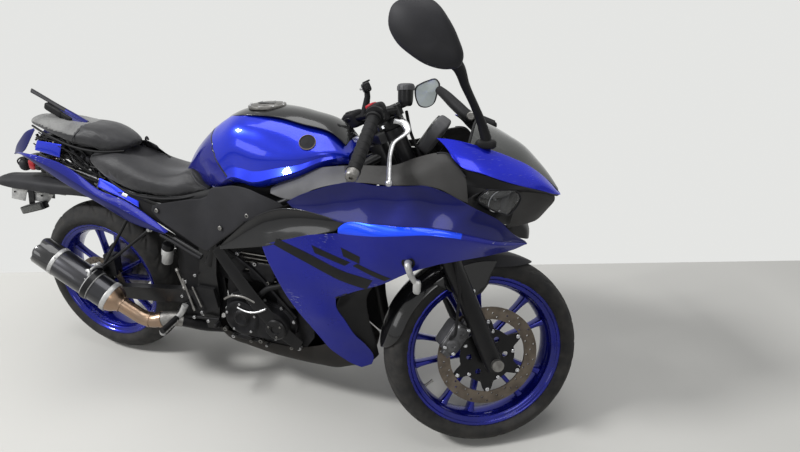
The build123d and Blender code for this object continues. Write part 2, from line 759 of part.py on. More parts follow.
with BuildPart() as tank_cover:
    add(skin([(row[0], [(row[2], row[1] + cover_wall), (-row[2], row[1] + cover_wall)])
              for row in tank_table[2:7]], cover_wall))
    with BuildSketch(Plane.XY.offset(tank_table[3][1])):
        with Locations((cap_centre_x, 0)):
            Circle(cap_radius + 14)
            Circle(cap_radius - 16, mode=Mode.SUBTRACT)
    extrude(amount=cover_wall + 3)
keep("tank_cover", tank_cover)

cap_low = tank_table[3][1] + cover_wall + 3 + clear_gap
cap_hinge = Vector(cap_centre_x + cap_radius + 7, 0, cap_low + cap_thick / 2)
with BuildPart() as fuel_cap:
    with BuildSketch(Plane.XY.offset(cap_low)):
        with Locations((cap_centre_x, 0)):
            Circle(cap_radius)
        with Locations((cap_hinge.X - 10, 0)):
            Rectangle(20, 18)
    extrude(amount=cap_thick)
keep("fuel_cap", fuel_cap)

# columns: x, top z, edge z, half width, low z, half width below
rider_table = [
    (62, 812, 806, 52, 800, 46),
    (110, 834, 812, 84, 780, 78),
    (185, 828, 800, 108, 734, 104),
    (270, 798, 780, 116, 714, 112),
    (363, 777, 762, 116, 712, 114),
    (440, 780, 764, 108, 716, 108),
    (530, 768, 756, 92, 738, 90),
]
# columns as above
pillion_table = [
    (-246, 918, 912, 30, 906, 24),
    (-205, 930, 920, 58, 902, 50),
    (-100, 926, 906, 86, 880, 80),
    (10, 915, 888, 94, 856, 88),
    (125, 911, 880, 88, 840, 80),
    (205, 893, 868, 74, 838, 68),
    (250, 874, 864, 46, 856, 42),
]


def cushion(table):
    """Seat cushion: crowned top, edge and flat underside at each station."""
    stations = []
    for x, top, edge, half, low, half_low in table:
        left = [(half * 0.55, top), (half * 0.86, top * 0.45 + edge * 0.55), (half, edge),
                (half_low, low)]
        stations.append((x, left + [(-y, z) for y, z in reversed(left)]))
    return body(stations)


with BuildPart() as rider_seat:
    add(cushion(rider_table))
    add(tank.part, mode=Mode.SUBTRACT)
    add(subframe.part, mode=Mode.SUBTRACT)
keep("rider_seat", rider_seat)

with BuildPart() as pillion_seat:
    add(cushion(pillion_table))
    add(rider_seat.part, mode=Mode.SUBTRACT)
keep("pillion_seat", pillion_seat)

with BuildPart() as tail_panel:
    add(body([(-240, [(46, 1026), (-46, 1026), (-40, 1020), (40, 1020)]),
              (-120, [(58, 976), (-58, 976), (-52, 968), (52, 968)]),
              (4, [(60, 922), (-60, 922), (-56, 914), (56, 914)])]))
    add(slab([(-170, 988), (-120, 968), (-128, 948), (-176, 962)], -34, 34))
    add(pillion_seat.part, mode=Mode.SUBTRACT)
keep("tail_panel", tail_panel)

with BuildPart() as electrics:
    add(slab([(-200, 800), (-150, 900), (20, 862), (44, 770), (44, 742), (-60, 758)], -46, 46))
    add(slab([(50, 746), (60, 790), (96, 806), (108, 742)], -52, 52))
    add(slab([(44, 752), (50, 752), (50, 788), (44, 770)], -30, 30))
    for other in (subframe, pillion_seat, rider_seat):
        add(other.part, mode=Mode.SUBTRACT)
keep("electrics", electrics)

# ------------------------------------------------------------------ bodywork
# rows: x, y top, z top, y low, z low of the right-hand tail panel's outer face
tail_rows = [
    (-336, 48, 796, 50, 786),
    (-248, 78, 806, 80, 788),
    (-82, 90, 786, 96, 722),
    (100, 102, 706, 110, 658),
    (227, 108, 676, 119, 611),
    (376, 124, 604, 126, 588),
]
with BuildPart() as tail_cowls:
    add(skin(side_strips(tail_rows), panel_wall))
    add(subframe.part, mode=Mode.SUBTRACT)
    mirror(about=Plane.XZ)
keep("tail_cowls", tail_cowls)

cover_rows = [
    (328, 127, 682, 128, 660),
    (359, 127, 688, 129, 636),
    (458, 127, 711, 140, 593),
    (543, 127, 734, 144, 561),
    (568, 127, 757, 146, 582),
    (693, 132, 790, 150, 681),
    (815, 151, 754, 152, 746),
]
with BuildPart() as side_covers:
    add(skin(side_strips(cover_rows), panel_wall))
    for other in (main_frame, subframe, rider_seat, tank):
        add(other.part, mode=Mode.SUBTRACT)
    mirror(about=Plane.XZ)
keep("side_covers", side_covers)

# columns: x, then the fairing's half width at each of the heights in fairing_levels
fairing_levels = (868, 762, 640, 520, 380, 210)
fairing_widths = [
    (740, 150, 162, 190, 190, 164, 108),
    (860, 166, 176, 196, 186, 158, 110),
    (1000, 190, 206, 198, 176, 150, 108),
    (1130, 200, 222, 208, 186, 140, 96),
    (1250, 206, 222, 190, 178, 130, 90),
    (1340, 176, 198, 160, 150, 120, 80),
    (1480, 52, 62, 52, 50, 40, 30),
]
fairing_outline = [
    (841, 766), (886, 794), (932, 815), (979, 834), (1035, 851), (1114, 850), (1236, 861),
    (1259, 854), (1328, 815), (1397, 768), (1435, 721), (1466, 691), (1439, 683), (1406, 676),
    (1338, 667), (1270, 656), (1211, 634), (1119, 571), (1031, 524), (986, 490), (984, 467),
    (1006, 412), (1032, 357), (1060, 315), (1080, 258), (1074, 234), (1045, 222), (1009, 239),
    (951, 290), (898, 377), (842, 461), (803, 543), (760, 630), (844, 663), (995, 716),
    (1022, 740), (858, 747),
]
fairing_stations = [
    (row[0], [(-y, z) for y, z in zip(row[1:], fairing_levels)]) for row in fairing_widths
]
with BuildPart() as side_fairings:
    add(skin(fairing_stations, panel_wall))
    add(slab(fairing_outline, -260, -20), mode=Mode.INTERSECT)
    mirror(about=Plane.XZ)
keep("side_fairings", side_fairings)

vent_rows = [
    (600, 150, 584, 152, 578),
    (760, 160, 702, 185, 631),
    (846, 171.5, 748, 188, 661),
    (1005, 202.3, 741, 199.5, 716),
]
with BuildPart() as vent_panels:
    add(skin(side_strips(vent_rows), panel_wall))
    for other in (side_fairings, side_covers, main_frame, tank):
        add(other.part, mode=Mode.SUBTRACT)
    mirror(about=Plane.XZ)
keep("vent_panels", vent_panels)

inner_rows = [
    (770, 142, 792, 146, 776),
    (841, 138, 828, 168.5, 772),
    (935, 122, 862, 181, 818),
    (1035, 140, 884, 191, 853),
    (1138, 152, 892, 199.3, 853),
    (1239, 150, 929, 202, 863),
    (1306, 166, 892, 188.3, 842),
]
with BuildPart() as inner_panels:
    add(skin(side_strips(inner_rows), panel_wall))
    for other in (side_fairings, side_covers, main_frame, tank):
        add(other.part, mode=Mode.SUBTRACT)
    mirror(about=Plane.XZ)
keep("inner_panels", inner_panels)

belly_rows = [
    (522, 104, 268, 262, 60),
    (570, 104, 240, 200, 70),
    (716, 108, 232, 174, 64),
    (824, 106, 236, 168, 60),
    (950, 104, 286, 170, 56),
    (1046, 96, 222, 198, 40),
]
with BuildPart() as belly_pan:
    add(skin([(x, [(half, up), (half * 0.86, low + 10), (half_low, low), (-half_low, low),
                   (-half * 0.86, low + 10), (-half, up)][::-1])
              for x, half, up, low, half_low in belly_rows], panel_wall))
    for other in (side_fairings, engine, main_frame, exhaust_pipe):
        add(other.part, mode=Mode.SUBTRACT)
keep("belly_pan", belly_pan)

cowl_rows = [
    (1238, 150, 967, 151, 960),
    (1266, 145, 965, 160, 935),
    (1301, 134, 953, 165, 905),
    (1355, 110, 938, 145, 886),
    (1448, 60, 890, 85, 849),
    (1530, 3, 812, 5, 804),
]
with BuildPart() as front_cowl:
    add(skin(side_strips(cowl_rows), panel_wall))
    mirror(about=Plane.XZ)
keep("front_cowl", front_cowl)

screen_rows = [
    (1310, 126, 947, 985),
    (1380, 94, 922, 955),
    (1448, 56, 888, 904),
    (1490, 30, 850, 862),
    (1522, 9, 818, 822),
]
with BuildPart() as windscreen:
    add(skin([(x, [(half, edge), (half * 0.62, edge + (mid - edge) * 0.72), (0, mid),
                   (-half * 0.62, edge + (mid - edge) * 0.72), (-half, edge)])
              for x, half, edge, mid in screen_rows], screen_wall))
    add(front_cowl.part, mode=Mode.SUBTRACT)
keep("windscreen", windscreen)

nose_rows = [
    (1338, 140, 884, 806),
    (1400, 112, 856, 764),
    (1448, 74, 840, 712),
    (1482, 42, 820, 706),
    (1516, 8, 802, 792),
]
with BuildPart() as nose_panel:
    add(body([(x, [(half * 0.9, top), (half, top * 0.8 + low * 0.2), (half * 0.9, low),
                   (-half * 0.9, low), (-half, top * 0.8 + low * 0.2), (-half * 0.9, top)])
              for x, half, top, low in nose_rows]))
    add(body([(1420, [(60, 745), (60, 725), (-60, 725), (-60, 745)]),
              (1462, [(24, 712), (24, 668), (-24, 668), (-24, 712)])]))
    add(front_cowl.part, mode=Mode.SUBTRACT)
    add(windscreen.part, mode=Mode.SUBTRACT)
    add(side_fairings.part, mode=Mode.SUBTRACT)
keep("nose_panel", nose_panel)

lamp_rows = [
    (1350, 141, 862, 140, 822),
    (1400, 117, 848, 116, 790),
    (1440, 86, 830, 84, 800),
]
with BuildPart() as headlights:
    add(skin(side_strips(lamp_rows), 8))
    add(nose_panel.part, mode=Mode.SUBTRACT)
    add(side_fairings.part, mode=Mode.SUBTRACT)
    add(front_cowl.part, mode=Mode.SUBTRACT)
    mirror(about=Plane.XZ)
keep("headlights", headlights)

with BuildPart() as front_stay:
    add(rod((1108, 0, 837), (1222, 0, 856), 10))
    add(rod((1220, -44, 856), (1220, 44, 856), 8))
    for side in (-1, 1):
        add(rod((1220, side * 36, 856), (1352, side * 96, 862), 7))
        add(rod((1346, side * 94, 862), (1346, side * 106, 934), 6))
        add(rod((1213, side * 36, 852), (1213, side * 36, 900), 6))
    add(rod((1346, -106, 934), (1346, 106, 934), 6))
    for other in (main_frame, nose_panel, front_cowl, headlights, windscreen):
        add(other.part, mode=Mode.SUBTRACT)
keep("front_stay", front_stay)

with BuildPart() as dash:
    add(slab([(1196, 898), (1208, 990), (1248, 976), (1220, 894)], -72, 72))
    add(front_stay.part, mode=Mode.SUBTRACT)
keep("dash", dash)

mirror_outline = [(1172, 1284), (1158, 1244), (1176, 1198), (1232, 1148), (1286, 1140),
                  (1296, 1168), (1282, 1252), (1240, 1292)]
with BuildPart() as mirrors:
    add(rod((1342, -118, 962), (1286, -272, 1160), 9))
    add(rod((1344, -112, 948), (1341, -121, 966), 16))
    add(slab(mirror_outline, -268, -312))
    add(rod((1344, 112, 948), (1341, 121, 966), 16))
    add(pipe([(1342, 118, 962), (1262, 160, 990), (1196, 196, 1026)], 10, 30))
    add(slab([(1110, 1016), (1146, 1056), (1196, 1052), (1214, 1022), (1162, 992)], 190, 246))
    add(front_cowl.part, mode=Mode.SUBTRACT)
    add(windscreen.part, mode=Mode.SUBTRACT)
keep("mirrors", mirrors)

fender_rows = [
    (330, 74, 662, 28),
    (180, 76, 690, 34),
    (0, 74, 700, 36),
    (-200, 66, 700, 40),
    (-400, 48, 686, 36),
    (-526, 34, 664, 12),
]
with BuildPart() as rear_fender:
    add(skin([(x, [(half, z - drop), (half - 3, z), (3 - half, z), (-half, z - drop)])
              for x, half, z, drop in fender_rows], 3))
    add(slab([(-40, 699.5), (-10, 699.5), (20, 724), (-20, 724)], -60, 60))
    add(slab([(-300, 692), (-230, 698), (-200, 776), (-240, 776)], -26, 26))
    for other in (subframe, electrics, tail_cowls):
        add(other.part, mode=Mode.SUBTRACT)
keep("rear_fender", rear_fender)

plate_thick_sheet = 2.5
plate_hole_drop = 66.0
plate_hole_radius = 3.3
with BuildPart() as plate_bracket:
    hang = Plane((-448, 0, 683), x_dir=(0, 1, 0), z_dir=(-1, 0, -0.35))
    with BuildSketch(hang):
        with Locations((0, 59)):
            RectangleRounded(170, 96, 8)
        with Locations((-60, plate_hole_drop), (60, plate_hole_drop)):
            Circle(plate_hole_radius, mode=Mode.SUBTRACT)
    extrude(amount=plate_thick_sheet)
    add(slab([(-300, 652), (-262, 656), (-266, 596), (-304, 590)], -62, -56))
    add(slab([(-304, 648), (-252, 652), (-256, 660), (-304, 658)], -62, -30))
    add(rear_fender.part, mode=Mode.SUBTRACT)
keep("plate_bracket", plate_bracket)

with BuildPart() as tail_lamp:
    add(slab([(-330, 744), (-248, 754), (-244, 776), (-322, 774)], -40, 40))
    for other in (rear_fender, tail_cowls, subframe):
        add(other.part, mode=Mode.SUBTRACT)
keep("tail_lamp", tail_lamp)

# ------------------------------------------------------------------ feet
step_y = plate_y + plate_thick / 2
with BuildPart() as footrests:
    for side in (-1, 1):
        add(slab([(548, 420), (560, 352), (470, 300), (398, 296), (392, 318), (440, 352),
                  (486, 420)], side * (step_y + clear_gap), side * (step_y + 14)))
        add(rod((414, side * step_y, 308), (410, side * (step_y + 128), 300), 10))
        add(rod((556, side * (step_y + 10), 306), (400, side * (step_y + 26), 300), 5))
    add(swingarm.part, mode=Mode.SUBTRACT)
    add(exhaust_pipe.part, mode=Mode.SUBTRACT)
    add(engine_covers.part, mode=Mode.SUBTRACT)
keep("footrests", footrests)

foot_mid = stand_pivot + stand_reach
foot_mid.Z = (ground.origin.Z - ((foot_mid.X - ground.origin.X) * ground.z_dir.X
              + (foot_mid.Y - ground.origin.Y) * ground.z_dir.Y) / ground.z_dir.Z)
with BuildPart() as side_stand:
    with BuildSketch(Plane(foot_mid, x_dir=ground.x_dir, z_dir=ground.z_dir)):
        RectangleRounded(58, 40, 9)
    extrude(amount=foot_thick)
    add(rod(foot_mid + Vector(0, 0, foot_thick * 0.5), stand_pivot, stand_radius))
    add(rod(stand_pivot - stand_axle * boss_half, stand_pivot + stand_axle * boss_half, 17))
    add(rod(stand_pivot - stand_axle * 15, stand_pivot + stand_axle * 15,
            stand_pin_radius + running_gap), mode=Mode.SUBTRACT)
    with BuildSketch(Plane(foot_mid, x_dir=ground.x_dir, z_dir=ground.z_dir)):
        Rectangle(200, 200)
    extrude(amount=-30, mode=Mode.SUBTRACT)
keep("side_stand", side_stand)

# ------------------------------------------------------------------ park it and write
placed = {}
for name, piece in bike.items():
    place = LEANED * STEERED if name in steered_nodes else LEANED
    placed[name] = piece.moved(place)

low_corner = Vector(*(min(getattr(p.bounding_box().min, a) for p in placed.values())
                      for a in "XYZ"))
high_corner = Vector(*(max(getattr(p.bounding_box().max, a) for p in placed.values())
                       for a in "XYZ"))
centre_shift = Location((-(low_corner.X + high_corner.X) / 2,
                         -(low_corner.Y + high_corner.Y) / 2, 0))
PARKED = centre_shift * LEANED

if __name__ == "__main__":
    for name, piece in placed.items():
        solid = piece.moved(centre_shift)
        solid.label = name
        export_step(solid, f"parts/{name}.step")
    size = high_corner - low_corner
    print("length, width, height", round(size.X), round(size.Y), round(size.Z))
    print("lowest", round(low_corner.Z, 3), "nodes", len(placed))
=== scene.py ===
"""Sport bike leaning on its side stand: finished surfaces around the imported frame.

Shapes are written in millimetres on the upright, straight-ahead bike: x forward from the
rear axle, y to the left, z up from the ground. A Placing carries them into the frame.
"""

import json
import logging
import math
from dataclasses import dataclass, field
from enum import Enum
from typing import Callable, Iterable, Sequence

import bmesh
import bpy
import numpy as np
from mathutils import Matrix, Vector


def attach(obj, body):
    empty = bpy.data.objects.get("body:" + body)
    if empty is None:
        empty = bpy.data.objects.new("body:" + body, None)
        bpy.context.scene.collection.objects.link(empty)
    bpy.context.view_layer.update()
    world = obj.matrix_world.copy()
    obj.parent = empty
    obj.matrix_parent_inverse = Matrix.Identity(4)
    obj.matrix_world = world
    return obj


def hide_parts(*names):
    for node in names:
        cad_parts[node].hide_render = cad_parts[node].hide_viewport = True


Array = np.ndarray
Option = bool | float | str | tuple
log = logging.getLogger("bike")

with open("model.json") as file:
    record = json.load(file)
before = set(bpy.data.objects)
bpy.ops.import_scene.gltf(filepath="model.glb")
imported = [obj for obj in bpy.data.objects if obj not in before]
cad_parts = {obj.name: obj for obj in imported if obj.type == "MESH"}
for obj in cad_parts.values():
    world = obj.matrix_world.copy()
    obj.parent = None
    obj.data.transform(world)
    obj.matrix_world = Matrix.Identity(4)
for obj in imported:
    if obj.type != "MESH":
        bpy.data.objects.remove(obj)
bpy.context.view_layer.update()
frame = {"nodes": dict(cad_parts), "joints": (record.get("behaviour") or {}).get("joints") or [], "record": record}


# ---------------------------------------------------------------- places
WHEELBASE, RAKE, TRAIL = 1380.0, math.radians(25.0), 95.0
FRONT_RADIUS, REAR_RADIUS = 293.0, 310.0
STEER_UP = np.array([-math.sin(RAKE), 0.0, math.cos(RAKE)])
STEER_AHEAD = np.array([math.cos(RAKE), 0.0, math.sin(RAKE)])
STEER_FOOT = np.array([WHEELBASE + TRAIL, 0.0, 0.0])
FRONT_AXLE = np.array([WHEELBASE, 0.0, FRONT_RADIUS])
REAR_AXLE = np.array([0.0, 0.0, REAR_RADIUS])
FORK_OFFSET = FRONT_RADIUS * math.sin(RAKE) - TRAIL * math.cos(RAKE)
LEFT = np.array([0.0, 1.0, 0.0])


def unit(vector: Sequence | Array) -> Array:
    """A vector, or an array of them along its last axis, brought to length 1."""
    vector = np.asarray(vector, float)
    return vector / np.linalg.norm(vector, axis=-1, keepdims=True)


def towards(angle: float) -> Array:
    """Direction across the axles at an angle in radians, from ahead upwards."""
    return np.array([math.cos(angle), 0.0, math.sin(angle)])


def turn_about(axis: Array, angle: float) -> Array:
    """Rotation matrix about a unit axis, by Rodrigues' formula.

    Args:
        axis: Unit vector.
        angle: Radians, by the right-hand rule.

    Returns:
        A 3 by 3 matrix.
    """
    x, y, z = axis
    cross = np.array([[0, -z, y], [z, 0, -x], [-y, x, 0]])
    return np.eye(3) + math.sin(angle) * cross + (1 - math.cos(angle)) * cross @ cross


@dataclass(frozen=True)
class Placing:
    """Carries points of the upright bike, in millimetres, into the frame, in metres."""

    turn: Array
    shift: Array

    def put(self, points: Array) -> Array:
        """Points in the frame, in metres."""
        return np.asarray(points, float) / 1000 @ self.turn.T + self.shift

    def aim(self, direction: Array) -> Array:
        """A direction of the upright bike in the frame."""
        return np.asarray(direction, float) @ self.turn.T


def find_placings() -> tuple[Placing, Placing]:
    """Works out where the bike stands from its rear axle and steering joints.

    Returns:
        The placing of the leaning bike and that of its steered front.
    """
    joints = {j["name"]: j for j in frame["joints"]}
    spin, steer = joints["rear_wheel_spin"], joints["steering_turn"]
    left, up = unit(spin["axis"]), unit(steer["axis"])
    ahead = np.cross(left, up)
    forward = math.cos(RAKE) * ahead - math.sin(RAKE) * up
    upright = math.sin(RAKE) * ahead + math.cos(RAKE) * up
    turn = np.stack([forward, left, upright], axis=1)
    shift = np.array(spin["pos_m"]) - REAR_AXLE / 1000 @ turn.T
    swing = turn_about(STEER_UP, math.radians(-steer["range_deg"][0] / 2))
    foot = STEER_FOOT / 1000
    return (Placing(turn, shift), Placing(turn @ swing, (foot - swing @ foot) @ turn.T + shift))


PARKED, STEERED = find_placings()


def on_steering(along: float, ahead: float = 0.0, left: float = 0.0) -> Array:
    """Point on the straight-ahead steering, along its axis, ahead of it and to the left."""
    return STEER_FOOT + STEER_UP * along + STEER_AHEAD * ahead + np.array([0, left, 0])


# ---------------------------------------------------------------- shader graph
class Wire:
    """A node's output, on which Python's operators add Math nodes."""

    def __init__(self, graph: "Graph", socket: bpy.types.NodeSocket) -> None:
        """Holds the socket and the graph that new nodes go into."""
        self.graph, self.socket = graph, socket

    def __add__(self, other: "Wire | float") -> "Wire":
        """Sum."""
        return self.graph.math("ADD", self, other)

    def __sub__(self, other: "Wire | float") -> "Wire":
        """Difference."""
        return self.graph.math("SUBTRACT", self, other)

    def __rsub__(self, other: "Wire | float") -> "Wire":
        """Difference, the other way round."""
        return self.graph.math("SUBTRACT", other, self)

    def __mul__(self, other: "Wire | float") -> "Wire":
        """Product."""
        return self.graph.math("MULTIPLY", self, other)

    def __truediv__(self, other: "Wire | float") -> "Wire":
        """Quotient."""
        return self.graph.math("DIVIDE", self, other)

    def __pow__(self, other: "Wire | float") -> "Wire":
        """Power."""
        return self.graph.math("POWER", self, other)

    __radd__, __rmul__ = __add__, __mul__

    def above(self, low: float, high: float) -> "Wire":
        """0 below low and 1 above high, with a smooth rise between them."""
        settings = {"interpolation_type": "SMOOTHSTEP"}
        limits = {"From_Min": low, "From_Max": high}
        return self.graph.wire(self.graph.node("ShaderNodeMapRange", settings, Value=self,
            **limits))


Value = Wire | float | Sequence[float]


class Graph:
    """A material's node tree around one Principled shader."""

    def __init__(self, name: str) -> None:
        """Starts an empty material of that name."""
        self.material = bpy.data.materials.new(name)
        self.material.use_nodes = True
        self.tree = self.material.node_tree
        self.tree.nodes.clear()
        self.shader = self.node("ShaderNodeBsdfPrincipled")
        output = self.node("ShaderNodeOutputMaterial")
        self.tree.links.new(self.shader.outputs["BSDF"], output.inputs["Surface"])

    def node(self, kind: str, settings: dict | None = None, **values: Value) -> bpy.types.Node:
        """Adds one node.

        Args:
            kind: The node's type.
            settings: Properties that are set before the sockets, such as an operation.
            **values: Numbers, colours or wires by socket name, with _ for a space, or i0,
                i1 and so on for a socket by its place.

        Returns:
            The node.
        """
        made = self.tree.nodes.new(kind)
        for key, setting in (settings or {}).items():
            setattr(made, key, setting)
        for key, value in values.items():
            place = int(key[1:]) if key[1:].isdigit() else key.replace("_", " ")
            self.feed(made.inputs[place], value)
        return made

    def feed(self, socket: bpy.types.NodeSocket, value: Value) -> None:
        """Links a wire to a socket, or sets its number or colour."""
        if isinstance(value, Wire):
            self.tree.links.new(value.socket, socket)
        elif hasattr(value, "__len__") and len(value) == 3 and len(socket.default_value) == 4:
            socket.default_value = (*value, 1)
        else:
            socket.default_value = value

    def wire(self, node: bpy.types.Node, output: str | int = 0) -> Wire:
        """One output of a node as a wire."""
        return Wire(self, node.outputs[output])

    def math(self, operation: str, *values: Value) -> Wire:
        """A Math node on its values, in order."""
        numbered = {f"i{place}": value for place, value in enumerate(values)}
        return self.wire(self.node("ShaderNodeMath", {"operation": operation}, **numbered))

    def mix(self, share: Value, low: Value, high: Value) -> Wire:
        """Colour between two colours."""
        made = self.node("ShaderNodeMix", {"data_type": "RGBA"}, i0=share, i6=low, i7=high)
        return self.wire(made, 2)

    def place(self, placing: Placing) -> Wire:
        """Object coordinates turned back onto the upright bike, in metres."""
        back = Matrix(placing.turn.T.tolist())
        made = self.node("ShaderNodeMapping", {"vector_type": "POINT"},
            Location=-(back @ Vector(placing.shift)), Rotation=back.to_euler())
        coordinates = self.node("ShaderNodeTexCoord")
        self.tree.links.new(coordinates.outputs["Object"], made.inputs["Vector"])
        return self.wire(made)

    def height(self, vector: Wire) -> Wire:
        """The z of a vector."""
        return self.wire(self.node("ShaderNodeSeparateXYZ", Vector=vector), "Z")

    def stretch(self, vector: Wire, scale: Sequence[float]) -> Wire:
        """A vector with each part multiplied."""
        settings = {"operation": "MULTIPLY"}
        return self.wire(self.node("ShaderNodeVectorMath", settings, i0=vector, i1=scale))

    def noise(self, vector: Wire, scale: float, detail: float = 3.0) -> Wire:
        """Noise between 0 and 1."""
        return self.wire(self.node("ShaderNodeTexNoise", Vector=vector, Scale=scale,
            Detail=detail))

    def cells(self, vector: Wire, scale: float) -> Wire:
        """Distance from the nearest point of a Voronoi texture."""
        settings = {"feature": "F1"}
        return self.wire(self.node("ShaderNodeTexVoronoi", settings, Vector=vector, Scale=scale))

    def bump(self, height: Wire, depth: float) -> None:
        """Feeds a height, of the given depth in metres, to the shader's Normal."""
        made = self.node("ShaderNodeBump", Height=height, Strength=1.0, Distance=depth)
        self.set(Normal=self.wire(made))

    def set(self, **values: Value) -> None:
        """Sets the shader's sockets by name, with _ for a space."""
        for key, value in values.items():
            self.feed(self.shader.inputs[key.replace("_", " ")], value)


DUST_COLOUR = (0.13, 0.12, 0.105)
SCRATCH_COLOUR = (0.42, 0.43, 0.5)
SCRATCH_STRETCH = (5.0, 5.0, 46.0)
FLAKE_SCALE = 1400.0
GLASS_INDEX = 1.45


@dataclass(frozen=True)
class Finish:
    """A surface: its colour, how it varies, how it shines and how worn it is."""

    colour: tuple[float, float, float]
    second: tuple[float, float, float] | None = None
    mottle: float = 14.0
    rough: float = 0.5
    rough_swing: float = 0.12
    metal: float = 0.0
    coat: float = 0.0
    coat_rough: float = 0.05
    grain: float = 0.0
    grain_depth: float = 0.0
    pebble: bool = False
    flake: float = 0.0
    dust: float = 0.0
    scratch: float = 0.0
    clear: float = 0.0
    alpha: float = 1.0
    sheen: float = 0.0
    gloss: float = 0.18

    def graph(self, name: str, placing: Placing) -> Graph:
        """Builds the shader.

        Args:
            name: The material's name.
            placing: Which placing its pieces have, for patterns that follow the bike.

        Returns:
            The graph, whose material goes on the pieces.
        """
        graph = Graph(name)
        place = graph.place(placing)
        cloud = graph.noise(place, self.mottle, 4.0)
        second = self.second or tuple(c * 0.72 for c in self.colour)
        colour = graph.mix(cloud.above(0.3, 0.7), self.colour, second)
        rough = (cloud - 0.5) * self.rough_swing + self.rough
        if self.flake:
            sparkle = graph.noise(place, FLAKE_SCALE, 1.0).above(0.55, 0.8)
            bright = tuple(min(1.0, c * 2.2 + 0.02) for c in self.colour)
            colour = graph.mix(sparkle * self.flake, colour, bright)
        if self.scratch:
            line = graph.noise(graph.stretch(place, SCRATCH_STRETCH), 9.0, 2.0)
            line = line.above(0.655, 0.668)
            mark = line * graph.noise(place, 4.0, 1.0).above(0.5, 0.6) * self.scratch
            colour = graph.mix(mark, colour, SCRATCH_COLOUR)
            rough = rough + mark * 0.4
        if self.dust:
            low = 1.0 - graph.height(place).above(0.05, 0.75)
            patch = graph.noise(place, 26.0, 5.0).above(0.36, 0.75)
            film = (low * 0.65 + 0.35) * patch * self.dust
            colour = graph.mix(film, colour, DUST_COLOUR)
            rough = rough + film * 0.35
        graph.set(Base_Color=colour, Roughness=rough, Metallic=self.metal, Coat_Weight=self.coat,
            Coat_Roughness=self.coat_rough, Specular_IOR_Level=self.gloss)
        if self.clear:
            graph.set(Transmission_Weight=self.clear, IOR=GLASS_INDEX)
        if self.alpha < 1:
            graph.set(Alpha=self.alpha)
        if self.sheen:
            graph.set(Sheen_Weight=self.sheen)
        if self.grain_depth:
            if self.pebble:
                height = graph.cells(place, self.grain)
            else:
                height = graph.noise(place, self.grain)
            graph.bump(height, self.grain_depth)
        return graph


